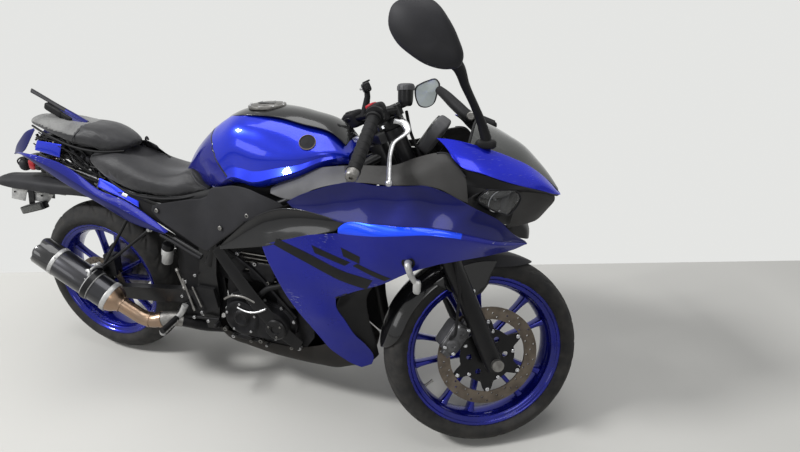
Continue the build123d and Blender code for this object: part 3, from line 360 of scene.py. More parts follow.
class Look(Enum):
    """The finishes of this bike."""

    BLUE = Finish((0.006, 0.028, 0.62), (0.005, 0.018, 0.46), 3.0, 0.26, 0.06, 0.55, 0.6, 0.03,
        flake=0.35, dust=0.03)
    BLUE_WORN = Finish((0.005, 0.010, 0.26), (0.004, 0.008, 0.19), 3.0, 0.28, 0.08, 0.55, 0.4,
        0.04, flake=0.35, dust=0.036, scratch=0.7)
    BLUE_NOSE = Finish((0.008, 0.018, 0.62), (0.010, 0.016, 0.44), 5.0, 0.28, 0.08, 0.5, 0.4, 0.04,
        flake=0.35, dust=0.009, scratch=0.1)
    PAN_BROWN = Finish((0.012, 0.011, 0.010), (0.019, 0.016, 0.014), 14.0, 0.55, 0.15, grain=500.0,
        grain_depth=0.0003, dust=0.036)
    TANK_REAR = Finish((0.010, 0.014, 0.26), (0.008, 0.01, 0.18), 4.0, 0.26, 0.08, 0.5, 0.5, 0.04,
        flake=0.2, dust=0.036)
    # Darker copy of the blue paint: painted shade on the fairing shoulders and on the lower halves of the tail
    # cowls.
    DEEP_BLUE = Finish((0.004, 0.007, 0.13), (0.004, 0.006, 0.085), 4.0, 0.3, 0.1, 0.5, 0.4, 0.06,
        flake=0.2, dust=0.06)
    # Brighter copy of the blue paint: a painted highlight on the front of the fairings' upward band.
    BRIGHT_BLUE = Finish((0.004, 0.075, 1.0), (0.004, 0.05, 0.9), 3.0, 0.25, 0.06, 0.35, 0.5, 0.03,
        flake=0.3, dust=0.01)
    WHEEL_BLUE = Finish((0.004, 0.008, 0.23), (0.003, 0.006, 0.14), 9.0, 0.26, 0.1, 0.65, 0.5,
        0.05, flake=0.2, dust=0.03)
    GLOSS_BLACK = Finish((0.006, 0.006, 0.007), None, 6.0, 0.22, 0.1, 0.0, 0.6, 0.06, dust=0.03)
    SATIN_BLACK = Finish((0.006, 0.006, 0.007), None, 30.0, 0.38, 0.12, 0.2, 0.15, 0.2, dust=0.025)
    MATTE_BLACK = Finish((0.008, 0.008, 0.009), None, 22.0, 0.58, 0.1, grain=900.0,
        grain_depth=0.0002, dust=0.035)
    GREY_TRIM = Finish((0.019, 0.019, 0.022), (0.014, 0.014, 0.016), 11.0, 0.55, 0.1, grain=1500.0,
        grain_depth=0.00012, dust=0.048)
    MID_TRIM = Finish((0.046, 0.045, 0.044), (0.034, 0.033, 0.032), 11.0, 0.5, 0.12, grain=1500.0,
        grain_depth=0.00012, dust=0.05)
    PALE_TRIM = Finish((0.10, 0.10, 0.105), (0.072, 0.072, 0.076), 11.0, 0.5, 0.12, 0.1,
        grain=1500.0, grain_depth=0.00012, dust=0.06)
    VINYL = Finish((0.026, 0.026, 0.028), (0.018, 0.018, 0.020), 16.0, 0.40, 0.08, grain=520.0,
        grain_depth=0.0004, pebble=True, sheen=0.15, dust=0.036)
    PALE_VINYL = Finish((0.18, 0.18, 0.175), (0.13, 0.13, 0.128), 20.0, 0.5, 0.08, grain=520.0,
        grain_depth=0.0004, pebble=True, sheen=0.2, dust=0.06)
    RUBBER = Finish((0.016, 0.016, 0.0165), (0.028, 0.027, 0.026), 34.0, 0.72, 0.14, grain=700.0,
        grain_depth=0.0003, dust=0.135)
    FRAME_BLACK = Finish((0.009, 0.009, 0.010), None, 20.0, 0.38, 0.16, 0.4, 0.25, 0.25,
        grain=420.0, grain_depth=0.0003, dust=0.05)
    CAST_DARK = Finish((0.015, 0.015, 0.017), (0.009, 0.009, 0.010), 40.0, 0.42, 0.2, 0.6,
        grain=600.0, grain_depth=0.0005, dust=0.07)
    CAST_GREY = Finish((0.11, 0.11, 0.115), (0.05, 0.05, 0.052), 30.0, 0.42, 0.2, 0.6, grain=600.0,
        grain_depth=0.0005, dust=0.1)
    BARE_METAL = Finish((0.55, 0.55, 0.56), (0.36, 0.36, 0.37), 60.0, 0.32, 0.2, 1.0, grain=900.0,
        grain_depth=0.0001, dust=0.045)
    DULL_METAL = Finish((0.25, 0.245, 0.235), (0.14, 0.135, 0.13), 55.0, 0.42, 0.2, 1.0,
        grain=500.0, grain_depth=0.0003, dust=0.12)
    PALE_METAL = Finish((0.46, 0.46, 0.45), (0.30, 0.30, 0.30), 40.0, 0.42, 0.2, 0.5, grain=700.0,
        grain_depth=0.0002, dust=0.06)
    CHROME = Finish((0.62, 0.63, 0.65), (0.5, 0.5, 0.52), 12.0, 0.12, 0.08, 1.0, dust=0.024)
    DISC_STEEL = Finish((0.15, 0.125, 0.10), (0.085, 0.07, 0.058), 30.0, 0.42, 0.15, 0.85,
        grain=900.0, grain_depth=0.0003, dust=0.105)
    CHAIN_STEEL = Finish((0.10, 0.085, 0.07), (0.04, 0.035, 0.03), 90.0, 0.45, 0.2, 0.9, dust=0.12)
    BRONZE = Finish((0.36, 0.24, 0.16), (0.27, 0.20, 0.15), 9.0, 0.28, 0.12, 1.0, grain=600.0,
        grain_depth=0.0001, dust=0.03)
    MUFFLER_DARK = Finish((0.045, 0.045, 0.05), (0.03, 0.03, 0.034), 5.0, 0.3, 0.1, 0.85, 0.4,
        0.08, dust=0.036)
    GLASS_CLEAR = Finish((0.9, 0.92, 0.95), (0.85, 0.87, 0.9), 9.0, 0.05, 0.04, clear=1.0)
    SMOKE = Finish((0.05, 0.053, 0.05), (0.04, 0.042, 0.04), 9.0, 0.08, 0.05, 0.0, 0.9, 0.03,
        alpha=0.86)
    MIRROR = Finish((0.52, 0.57, 0.56), (0.42, 0.47, 0.46), 9.0, 0.12, 0.03, 0.25, 0.6, 0.05)
    RED_LENS = Finish((0.50, 0.012, 0.02), (0.32, 0.01, 0.015), 9.0, 0.15, 0.05, coat=0.8)
    RED_SWITCH = Finish((0.42, 0.02, 0.03), (0.3, 0.015, 0.02), 9.0, 0.4, 0.05)
    CREAM_GUM = Finish((0.55, 0.5, 0.42), (0.4, 0.36, 0.3), 60.0, 0.6, 0.1)
    AMBER = Finish((0.75, 0.32, 0.06), (0.6, 0.25, 0.05), 60.0, 0.3, 0.1, coat=0.5)
    CARBON = Finish((0.028, 0.028, 0.03), (0.012, 0.012, 0.013), 30.0, 0.3, 0.1, 0.2, 1.0, 0.05)


_made: dict[tuple[str, bool], bpy.types.Material] = {}


def material(look: Look, placing: Placing = PARKED) -> bpy.types.Material:
    """The material of a look, made once for the bike and once for its steered front."""
    key = (look.name, placing is STEERED)
    if key not in _made:
        name = look.name.lower() + ("_steered" if key[1] else "")
        _made[key] = look.value.graph(name, placing).material
    return _made[key]


# ---------------------------------------------------------------- curves and surfaces
def hermite(points: Array, knots: Array, at: Array) -> Array:
    """Smooth curve through points along axis 0: cubic Hermite, finite-difference tangents.

    Args:
        points: Array whose first axis runs along the curve.
        knots: Rising parameter of each point.
        at: Parameters to sample.

    Returns:
        Array with one row per sample.
    """
    if len(points) == 2:
        share = ((at - knots[0]) / (knots[1] - knots[0])).reshape(-1, *[1] * (points.ndim - 1))
        return points[0] * (1 - share) + points[1] * share
    gaps = np.diff(knots).reshape(-1, *[1] * (points.ndim - 1))
    slopes = np.diff(points, axis=0) / gaps
    inner = (slopes[:-1] * gaps[1:] + slopes[1:] * gaps[:-1]) / (gaps[:-1] + gaps[1:])
    first, last = 1.5 * slopes[:1] - 0.5 * inner[:1], 1.5 * slopes[-1:] - 0.5 * inner[-1:]
    tangents = np.concatenate([first, inner, last])
    i = np.clip(np.searchsorted(knots, at, side="right") - 1, 0, len(knots) - 2)
    gap = gaps[i]
    s = ((at - knots[i]).reshape(gap.shape[0], *[1] * (points.ndim - 1))) / gap
    return (points[i] * (2 * s**3 - 3 * s**2 + 1) + tangents[i] * gap * (s**3 - 2 * s**2 + s)
        + points[i + 1] * (3 * s**2 - 2 * s**3) + tangents[i + 1] * gap * (s**3 - s**2))


def spline(points: Sequence | Array, count: int, breaks: Sequence[int] = (),
        closed: bool = False) -> Array:
    """Smooth curve, or family of curves, sampled evenly along its chord.

    Args:
        points: Array whose first axis runs along the curve and whose last holds x, y, z.
        count: Number of samples.
        breaks: Indices of points where the curve has a corner.
        closed: Whether the last point joins the first, which is then not repeated.

    Returns:
        The samples, first axis along the curve.
    """
    p = np.asarray(points, float)
    if closed:
        wrapped = np.concatenate([p[-3:], p, p[:4]])
        chord = np.linalg.norm(np.diff(wrapped, axis=0), axis=-1)
        chord = chord.reshape(len(wrapped) - 1, -1).mean(axis=1) + 1e-9
        knots = np.concatenate([[0], np.cumsum(chord)])
        low, high = knots[3], knots[3 + len(p)]
        return hermite(wrapped, knots, np.linspace(low, high, count, endpoint=False))
    chord = np.linalg.norm(np.diff(p, axis=0), axis=-1)
    chord = chord.reshape(len(p) - 1, -1).mean(axis=1) + 1e-9
    knots = np.concatenate([[0], np.cumsum(chord)])
    cuts = [0, *breaks, len(p) - 1]
    runs = [(a, b) for a, b in zip(cuts, cuts[1:]) if b > a]
    total = knots[-1]
    counts = [max(2, round((knots[b] - knots[a]) / total * (count - 1)) + 1) for a, b in runs]
    counts[-1] += count + len(runs) - 1 - sum(counts)
    parts = []
    for (a, b), n in zip(runs, counts):
        part = hermite(p[a : b + 1], knots[a : b + 1], np.linspace(knots[a], knots[b], n))
        parts.append(part if not parts else part[1:])
    return np.concatenate(parts)


def surface(table: Sequence | Array, along: int, across: int, breaks: Sequence[int] = (),
        closed: bool = False) -> Array:
    """Grid of points: splines through the table's rows, then across them.

    Args:
        table: Rows of points, all rows equally long.
        along: Samples from the first row to the last.
        across: Samples across a row.
        breaks: Rows at which the surface has a crease.
        closed: Whether each row closes on itself.

    Returns:
        Array of along by across points.
    """
    rows = spline(table, along, breaks)
    columns = spline(np.swapaxes(rows, 0, 1), across, (), closed)
    return np.swapaxes(columns, 0, 1)


def sided(rows: Sequence, side: int) -> Array:
    """Points of one side from rows of (x, distance from the middle, z)."""
    points = np.asarray(rows, float).copy()
    points[..., 1] *= side
    return points


def side_line(rows: Sequence, side: int, count: int) -> Array:
    """Smooth line of one side through rows of (x, distance from the middle, z)."""
    return spline(sided(rows, side), count)


def hump(count: int) -> Array:
    """Half a sine wave: 0 at both ends and 1 in the middle."""
    return np.sin(np.pi * np.linspace(0, 1, count))


def mixed(first: Array, second: Array, share: float | Array) -> Array:
    """Straight blend of two arrays."""
    return first * (1 - share) + second * share


@dataclass
class Shell:
    """Vertices and faces gathered for one mesh, in millimetres on the upright bike."""

    points: list[Array] = field(default_factory=list)
    faces: list[tuple[int, ...]] = field(default_factory=list)
    marks: list[int] = field(default_factory=list)
    size: int = 0

    def add(self, points: Array, faces: Iterable[Sequence[int]], mark: int = 0) -> "Shell":
        """Adds points with faces that count from their first point."""
        points = np.asarray(points, float).reshape(-1, 3)
        faces = [tuple(int(i) + self.size for i in face) for face in faces]
        self.points.append(points)
        self.faces += faces
        self.marks += [mark] * len(faces)
        self.size += len(points)
        return self

    def grid(self, points: Array, closed: bool = False, looped: bool = False, caps: bool = False,
            flip: bool = False, mark: int = 0) -> "Shell":
        """Adds a grid of quads.

        Args:
            points: Array of n by m points.
            closed: Whether each row joins its own start.
            looped: Whether the last row joins the first.
            caps: Whether the first and last rows are closed with a fan.
            flip: Whether the faces turn the other way.
            mark: Material index of the faces.

        Returns:
            The shell.
        """
        n, m = points.shape[:2]
        i, j = np.meshgrid(np.arange(n if looped else n - 1), np.arange(m if closed else m - 1),
            indexing="ij")
        i, j = i.ravel(), j.ravel()
        k, l = (i + 1) % n, (j + 1) % m
        quads = np.stack([i * m + j, k * m + j, k * m + l, i * m + l], axis=1)
        if flip:
            quads = quads[:, ::-1]
        faces = [tuple(q) for q in quads.tolist()]
        flat = points.reshape(-1, 3)
        if caps:
            flat = np.concatenate([flat, points[:1].mean(axis=1), points[-1:].mean(axis=1)])
            for row, hub in ((0, n * m), (n - 1, n * m + 1)):
                for a in range(m if closed else m - 1):
                    b = (a + 1) % m
                    fan = (row * m + a, row * m + b, hub)
                    faces.append(fan if (row == 0) != flip else fan[::-1])
        return self.add(flat, faces, mark)


def revolve(profile: Sequence | Array, steps: int, start: float = 0.0,
        sweep: float = 360.0) -> Array:
    """Grid of a profile turned about the y axis.

    Args:
        profile: Rows of (distance along y, radius).
        steps: Samples round the axis.
        start: First angle in degrees, from +x towards +z.
        sweep: Angle covered; 360 leaves the seam open for a looped grid.

    Returns:
        Array of steps by profile points, about the origin.
    """
    profile = np.asarray(profile, float)
    full = abs(sweep) >= 360
    angles = np.radians(start + np.linspace(0, sweep, steps, endpoint=not full))
    x = np.cos(angles)[:, None] * profile[None, :, 1]
    z = np.sin(angles)[:, None] * profile[None, :, 1]
    y = np.broadcast_to(profile[None, :, 0], x.shape)
    return np.stack([x, y, z], axis=-1)


def frames_along(path: Array) -> tuple[Array, Array]:
    """Two unit directions across a path at each of its points, with little twist."""
    tangent = unit(np.gradient(path, axis=0))
    side = np.zeros_like(path)
    guess = np.array([0.0, 0.0, 1.0]) if abs(tangent[0, 2]) < 0.9 else np.array([1.0, 0.0, 0.0])
    for i, direction in enumerate(tangent):
        side[i] = guess = unit(guess - direction * (guess @ direction))
    return side, np.cross(tangent, side)


def tube(path: Sequence | Array, radius: float | Array, around: int = 16) -> Array:
    """Grid of a round tube: a circle carried along a path.

    Args:
        path: Points of the centre line.
        radius: One radius, or one for each point.
        around: Samples round the circle.

    Returns:
        Array of path points by around.
    """
    path = np.asarray(path, float)
    one, two = frames_along(path)
    turn = np.linspace(0, 2 * np.pi, around, endpoint=False)
    ring = np.cos(turn)[None, :, None] * one[:, None] + np.sin(turn)[None, :, None] * two[:, None]
    radii = np.broadcast_to(np.asarray(radius, float), (len(path),))
    return path[:, None] + ring * radii[:, None, None]


def sweep_section(path: Array, across: Array, upward: Array, section: Array) -> Array:
    """Grid of a section carried along a path with its own two directions at each point."""
    sideways, outwards = section[..., 0, None], section[..., 1, None]
    return path[:, None] + across[:, None] * sideways + upward[:, None] * outwards


def turned_bar(start: Array, end: Array, profile: Sequence, around: int = 24) -> Array:
    """Grid of a turned piece: radii given along the line between two points.

    Args:
        start: Where the line begins.
        end: Where it ends.
        profile: Rows of (share of the line, radius).
        around: Samples round the line.

    Returns:
        Array of profile rows by around.
    """
    start, end = np.asarray(start, float), np.asarray(end, float)
    line = unit(end - start)
    one = unit(np.cross(line, [0.0, 0.0, 1.0] if abs(line[2]) < 0.9 else [1.0, 0.0, 0.0]))
    two = np.cross(line, one)
    turn = np.linspace(0, 2 * np.pi, around, endpoint=False)
    ring = np.cos(turn)[:, None] * one + np.sin(turn)[:, None] * two
    rows = [start + (end - start) * share + ring * radius for share, radius in profile]
    return np.stack(rows)


def bolt_head(at: Array, out: Array, radius: float, height: float) -> Array:
    """Grid of a round bolt head with a socket, standing out from a face."""
    at, out = np.asarray(at, float), unit(out)
    rows = [(0.0, radius), (0.75, radius), (1.0, radius * 0.82), (1.0, radius * 0.5),
        (0.45, radius * 0.46), (0.45, radius * 0.02)]
    return turned_bar(at, at + out * height, rows, 14)


class Field:
    """Smooth height over a plane near scattered points: a thin-plate spline."""

    slack = 2e-5

    def __init__(self, rows: Sequence) -> None:
        """Solves for the spline through rows of (x, z, height)."""
        data = np.asarray(rows, float)
        self.places, heights = data[:, :2] / 1000, data[:, 2]
        n = len(data)
        plane = np.concatenate([np.ones((n, 1)), self.places], axis=1)
        system = np.zeros((n + 3, n + 3))
        system[:n, :n] = self.bend(self.places) + np.eye(n) * self.slack
        system[:n, n:], system[n:, :n] = plane, plane.T
        self.weights = np.linalg.solve(system, np.concatenate([heights, np.zeros(3)]))

    def bend(self, at: Array) -> Array:
        """r squared log r from each place asked for to each point given."""
        gap = np.linalg.norm(at[:, None] - self.places[None], axis=2)
        return gap**2 * np.log(gap + 1e-9)

    def at(self, x: Array, z: Array) -> Array:
        """Heights at places of the plane."""
        flat = np.stack([np.ravel(x), np.ravel(z)], axis=1) / 1000
        n = len(self.places)
        plane = np.concatenate([np.ones((len(flat), 1)), flat], axis=1)
        height = self.bend(flat) @ self.weights[:n] + plane @ self.weights[n:]
        return height.reshape(np.shape(x))


def ruled(one: Array, two: Array, across: int) -> Array:
    """Grid of straight lines from one curve to another."""
    return mixed(one[:, None], two[:, None], np.linspace(0, 1, across)[None, :, None])


def between(first: Sequence, second: Sequence, along: int, across: int) -> Array:
    """Grid ruled between two curves, each smoothed through its points."""
    return ruled(spline(first, along), spline(second, along), across)


def raised(flat: Array, height: Field, side: int, lift: float = 0.0) -> Array:
    """A flat (x, z) grid carried out sideways to a field's half width."""
    width = height.at(flat[..., 0], flat[..., 1]) + lift
    return np.stack([flat[..., 0], side * width, flat[..., 1]], axis=-1)


# ---------------------------------------------------------------- pieces
MERGE_GAP, SHORTEST_EDGE = 2e-5, 1e-6
BEVEL_ANGLE = 50
SIDES = (-1, 1)


@dataclass
class Piece:
    """One finished object: its shell, finishes and where it belongs."""

    name: str
    looks: Sequence[Look]
    slot: str
    replaces: Sequence[str] = ()
    body: str = "chassis"
    placing: Placing = PARKED
    wall: float = 0.0
    bevel: float = 0.0
    sharp: float = 38.0
    closed: bool = True
    inside: Look | None = None
    shell: Shell = field(default_factory=Shell)

    @classmethod
    def instead_of(cls, node: str, looks: Sequence[Look], slot: str, **options: Option) -> "Piece":
        """A piece that stands for one CAD node and is named after it."""
        return cls(node + "_new", looks, slot, (node,), **options)

    def grid(self, points: Array, **options: bool | int) -> "Piece":
        """Adds a grid to the shell."""
        self.shell.grid(points, **options)
        return self

    def outward_grid(self, points: Array, aim: Array, **options: bool | int) -> "Piece":
        """Adds a grid turned so that its faces look along a direction on the whole."""
        along, across = points[1:, :-1] - points[:-1, :-1], points[:-1, 1:] - points[:-1, :-1]
        normal = np.cross(along, across).reshape(-1, 3).sum(axis=0)
        return self.grid(points, flip=bool(normal @ np.asarray(aim, float) < 0), **options)

    def rod(self, path: Array, radius: float | Array, around: int = 16, mark: int = 0) -> None:
        """Adds a round rod along a path, closed at both ends."""
        self.grid(tube(path, radius, around), closed=True, caps=True, mark=mark)

    def block(self, *shape: Array | float | int, mark: int = 0) -> None:
        """Adds a rounded block, shaped as lump says."""
        self.grid(lump(*shape), closed=True, caps=True, mark=mark)

    def turned(self, start: Array, end: Array, profile: Sequence, around: int = 24, mark: int = 0,
            caps: bool = False) -> None:
        """Adds a piece turned about the line between two points."""
        self.grid(turned_bar(start, end, profile, around), closed=True, caps=caps, mark=mark)

    def bolt(self, at: Array, out: Array, radius: float, height: float, mark: int = 0) -> None:
        """Adds a round bolt head that stands out from a face."""
        self.grid(bolt_head(at, out, radius, height), closed=True, mark=mark)

    def solidify(self, made: bpy.types.Object) -> None:
        """Gives the sheet its wall, and its edges their rounding."""
        if self.wall:
            solid = made.modifiers.new("wall", "SOLIDIFY")
            solid.thickness, solid.offset = self.wall / 1000, -1.0
            solid.use_even_offset = False
            solid.material_offset = len(self.looks) if self.inside else 0
        if self.bevel:
            soft = made.modifiers.new("edges", "BEVEL")
            soft.width, soft.segments, soft.limit_method = self.bevel / 1000, 2, "ANGLE"
            soft.angle_limit = math.radians(BEVEL_ANGLE)

    def build(self) -> bpy.types.Object:
        """Makes the object, dresses it and hangs it on its body.

        Returns:
            The object.
        """
        shell = self.shell
        points = self.placing.put(np.concatenate(shell.points))
        mesh = bpy.data.meshes.new(self.name)
        mesh.from_pydata(points.tolist(), [], shell.faces)
        for look in (*self.looks, *((self.inside,) if self.inside else ())):
            mesh.materials.append(material(look, self.placing))
        mesh.polygons.foreach_set("material_index", np.array(shell.marks, np.int32))
        tidy = bmesh.new()
        tidy.from_mesh(mesh)
        bmesh.ops.remove_doubles(tidy, verts=tidy.verts, dist=MERGE_GAP)
        bmesh.ops.dissolve_degenerate(tidy, edges=tidy.edges, dist=SHORTEST_EDGE)
        if self.closed and not self.wall:
            bmesh.ops.recalc_face_normals(tidy, faces=tidy.faces)
        tidy.to_mesh(mesh)
        tidy.free()
        mesh.polygons.foreach_set("use_smooth", np.ones(len(mesh.polygons), bool))
        mesh.set_sharp_from_angle(angle=math.radians(self.sharp))
        made = bpy.data.objects.new(self.name, mesh)
        bpy.context.scene.collection.objects.link(made)
        self.solidify(made)
        if self.replaces:
            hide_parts(*self.replaces)
        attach(made, self.body)
        log.info("%s: %d points", self.name, len(mesh.vertices))
        return made


def side_pair(piece: Piece, maker: Callable[[int], Array], mark: int = 0) -> None:
    """Adds a maker's grids for side -1, the right, and 1, the left, both facing outwards."""
    for side in SIDES:
        piece.outward_grid(maker(side), (0, side, 0), mark=mark)


# ---------------------------------------------------------------- bodywork
FAIRING_WIDTHS = ((841, 766, 165), (886, 794, 176), (932, 815, 183), (979, 834, 190),
    (1035, 851, 196), (1114, 850, 201), (1236, 861, 205), (1259, 854, 202), (1328, 815, 178),
    (1397, 768, 135), (1435, 721, 100), (1466, 691, 70), (858, 752, 167), (1022, 740, 203),
    (1094, 752, 216), (1173, 758, 224), (1245, 763, 221), (1313, 751, 200), (1403, 717, 142),
    (1000, 800, 190), (1150, 805, 205), (1250, 810, 208), (1330, 790, 187))
FLANK_WIDTHS = ((1022, 738, 206), (1094, 735, 226), (1173, 738, 236), (1245, 744, 234),
    (1313, 736, 212), (1403, 708, 150), (1466, 690, 72), (995, 716, 200), (844, 663, 192),
    (760, 630, 180), (900, 625, 198), (1050, 610, 205), (1119, 571, 195), (803, 543, 190),
    (842, 461, 180), (898, 377, 165), (951, 290, 140), (1009, 239, 120), (1045, 222, 110),
    (1074, 234, 100), (1080, 258, 100), (1060, 315, 120), (1032, 357, 140), (1006, 412, 155),
    (984, 467, 170), (986, 490, 175), (1031, 524, 185), (1211, 634, 205), (1270, 656, 190),
    (1338, 667, 160), (1406, 676, 120), (1439, 683, 100), (900, 540, 195), (950, 430, 178),
    (1100, 660, 218), (1200, 690, 222), (1300, 700, 198), (1000, 600, 205))


@dataclass
class SideFairings:
    """The two big side panels: shoulder, bright edge and flank running down to a point. The shoulder's darker blue
    is painted shade and the edge's bright blue is a painted highlight on the one blue paint.
    """

    top: Sequence = ((841, 766), (886, 794), (932, 815), (979, 834), (1035, 851), (1114, 850),
        (1170, 856), (1236, 861), (1259, 854), (1328, 815), (1397, 768), (1435, 721), (1466, 691))
    crease: Sequence = ((858, 752), (910, 750), (960, 745), (1022, 740), (1094, 752), (1173, 758),
        (1245, 763), (1313, 751), (1403, 717), (1440, 702), (1466, 691))
    low_crease: Sequence = ((1004, 708), (1022, 710), (1094, 722), (1173, 738), (1245, 750),
        (1313, 742), (1403, 710), (1466, 690))
    band_top: Sequence = ((1004, 724), (1022, 740), (1094, 752), (1173, 758), (1245, 763),
        (1313, 751), (1403, 717), (1466, 691))
    flank_rear: Sequence = ((1004, 708), (980, 703), (920, 690), (844, 663), (760, 630),
        (772, 600), (803, 543), (842, 461), (870, 418), (898, 377), (930, 325), (951, 290),
        (980, 262), (1009, 239), (1045, 222))
    flank_front: Sequence = ((1466, 690), (1439, 683), (1406, 676), (1338, 667), (1270, 656),
        (1211, 634), (1119, 571), (1031, 524), (986, 490), (984, 467), (1006, 412), (1032, 357),
        (1060, 315), (1080, 258), (1074, 234))
    wall: float = 3.0

    def shoulder(self, side: int) -> Array:
        """Nearly upright panel from the top edge down to the crease; its darker blue is painted shade."""
        flat = between(self.top, self.crease, 96, 22)
        grid = raised(flat, Field(FAIRING_WIDTHS), side)
        grid[..., 1] -= side * 7.0 * hump(22) * hump(96)[:, None] ** 0.5
        return grid

    def band(self, side: int) -> Array:
        """Narrow upward-facing strip between the two creases, whose front part carries a painted highlight in
        bright blue.
        """
        one = raised(spline(self.band_top, 80), Field(FAIRING_WIDTHS), side)
        two = raised(spline(self.low_crease, 80), Field(FLANK_WIDTHS), side)
        grid = ruled(one, two, 6)
        grid[..., 1] += side * 3.0 * hump(6)
        return grid

    def flank(self, side: int) -> Array:
        """The side below the creases, ruled from the rear edge to the front edge.

        The upper rows bend from the low crease at the top to the fairing's underside, the
        lower ones cross the narrowing tail of the panel.
        """
        upper = between(self.flank_rear[:5], self.flank_front[:5], 26, 72)
        top = spline(self.low_crease, 72)
        first = upper[0].copy()
        fade = (1 - np.linspace(0, 1, 26)[:, None, None]) ** 1.6
        upper = upper + fade * (top - first)[None]
        rows = between(self.flank_rear[4:], self.flank_front[4:], 84, 72)
        grid = np.concatenate([upper, rows[1:]])
        return raised(grid, Field(FLANK_WIDTHS), side)

    def build(self) -> None:
        """Both fairings as one object."""
        piece = Piece.instead_of("side_fairings", (Look.DEEP_BLUE, Look.BRIGHT_BLUE,
            Look.BLUE_WORN), "blue_paint", wall=self.wall, bevel=1.2, sharp=24, closed=False,
            inside=Look.MATTE_BLACK)
        # Shoulders in the darker blue as painted shade; the band's front in the bright blue as a painted
        # highlight.
        side_pair(piece, self.shoulder, mark=0)
        side_pair(piece, lambda side: self.band(side)[:54], mark=1)
        side_pair(piece, lambda side: self.band(side)[53:], mark=2)
        side_pair(piece, self.flank, mark=2)
        piece.build()


@dataclass
class FairingGraphics:
    """Angular black stripes laid on the flank."""

    stripes: Sequence = ((((815, 662), (900, 640), (985, 612), (1060, 588)),
        ((803, 640), (890, 612), (960, 586), (1010, 566))),
        (((925, 662), (985, 646), (1040, 632)), ((935, 640), (985, 628), (1024, 618))),
        (((1015, 600), (1060, 592), (1100, 584)), ((985, 575), (1030, 560), (1080, 548))),
        (((1060, 632), (1105, 616), (1150, 600)), ((1046, 622), (1090, 604), (1132, 588))),
        (((1012, 671), (1040, 663), (1068, 655)), ((1020, 646), (1044, 639), (1066, 632))))

    lift: float = 0.5

    def build(self) -> None:
        """All stripes as one film, ruled between their edges and carried to the flank's width."""
        piece = Piece("fairing_graphics", (Look.SATIN_BLACK,), "black_trim", sharp=60,
            closed=False)
        widths = Field(FLANK_WIDTHS)
        for first, second in self.stripes:
            flat = between(first, second, 40, 10)
            side_pair(piece, lambda side: raised(flat, widths, side, self.lift))
        piece.build()


@dataclass
class VentPanels:
    """Glossy black wedge between the side cover and each fairing."""

    upper: Sequence = ((596, 151, 588), (650, 153, 640), (700, 155, 684), (760, 160, 722),
        (821, 166, 745), (870, 172, 751), (930, 182, 750), (985, 193, 745), (1022, 200, 739))
    lower: Sequence = ((600, 154, 580), (660, 164, 596), (720, 176, 614), (760, 184, 626),
        (800, 187, 640), (844, 190, 658), (920, 196, 686), (995, 200, 714))

    def panel(self, side: int) -> Array:
        """Surface ruled between the two long edges, hollowed along its middle."""
        grid = between(sided(self.upper, side), sided(self.lower, side), 60, 16)
        grid[..., 1] -= side * 7.0 * hump(16) * hump(60)[:, None]
        return grid

    def build(self) -> None:
        """Both wedges as one object."""
        piece = Piece.instead_of("vent_panels", (Look.GLOSS_BLACK,), "black_trim", wall=2.5,
            bevel=1.0, closed=False)
        side_pair(piece, self.panel)
        piece.build()


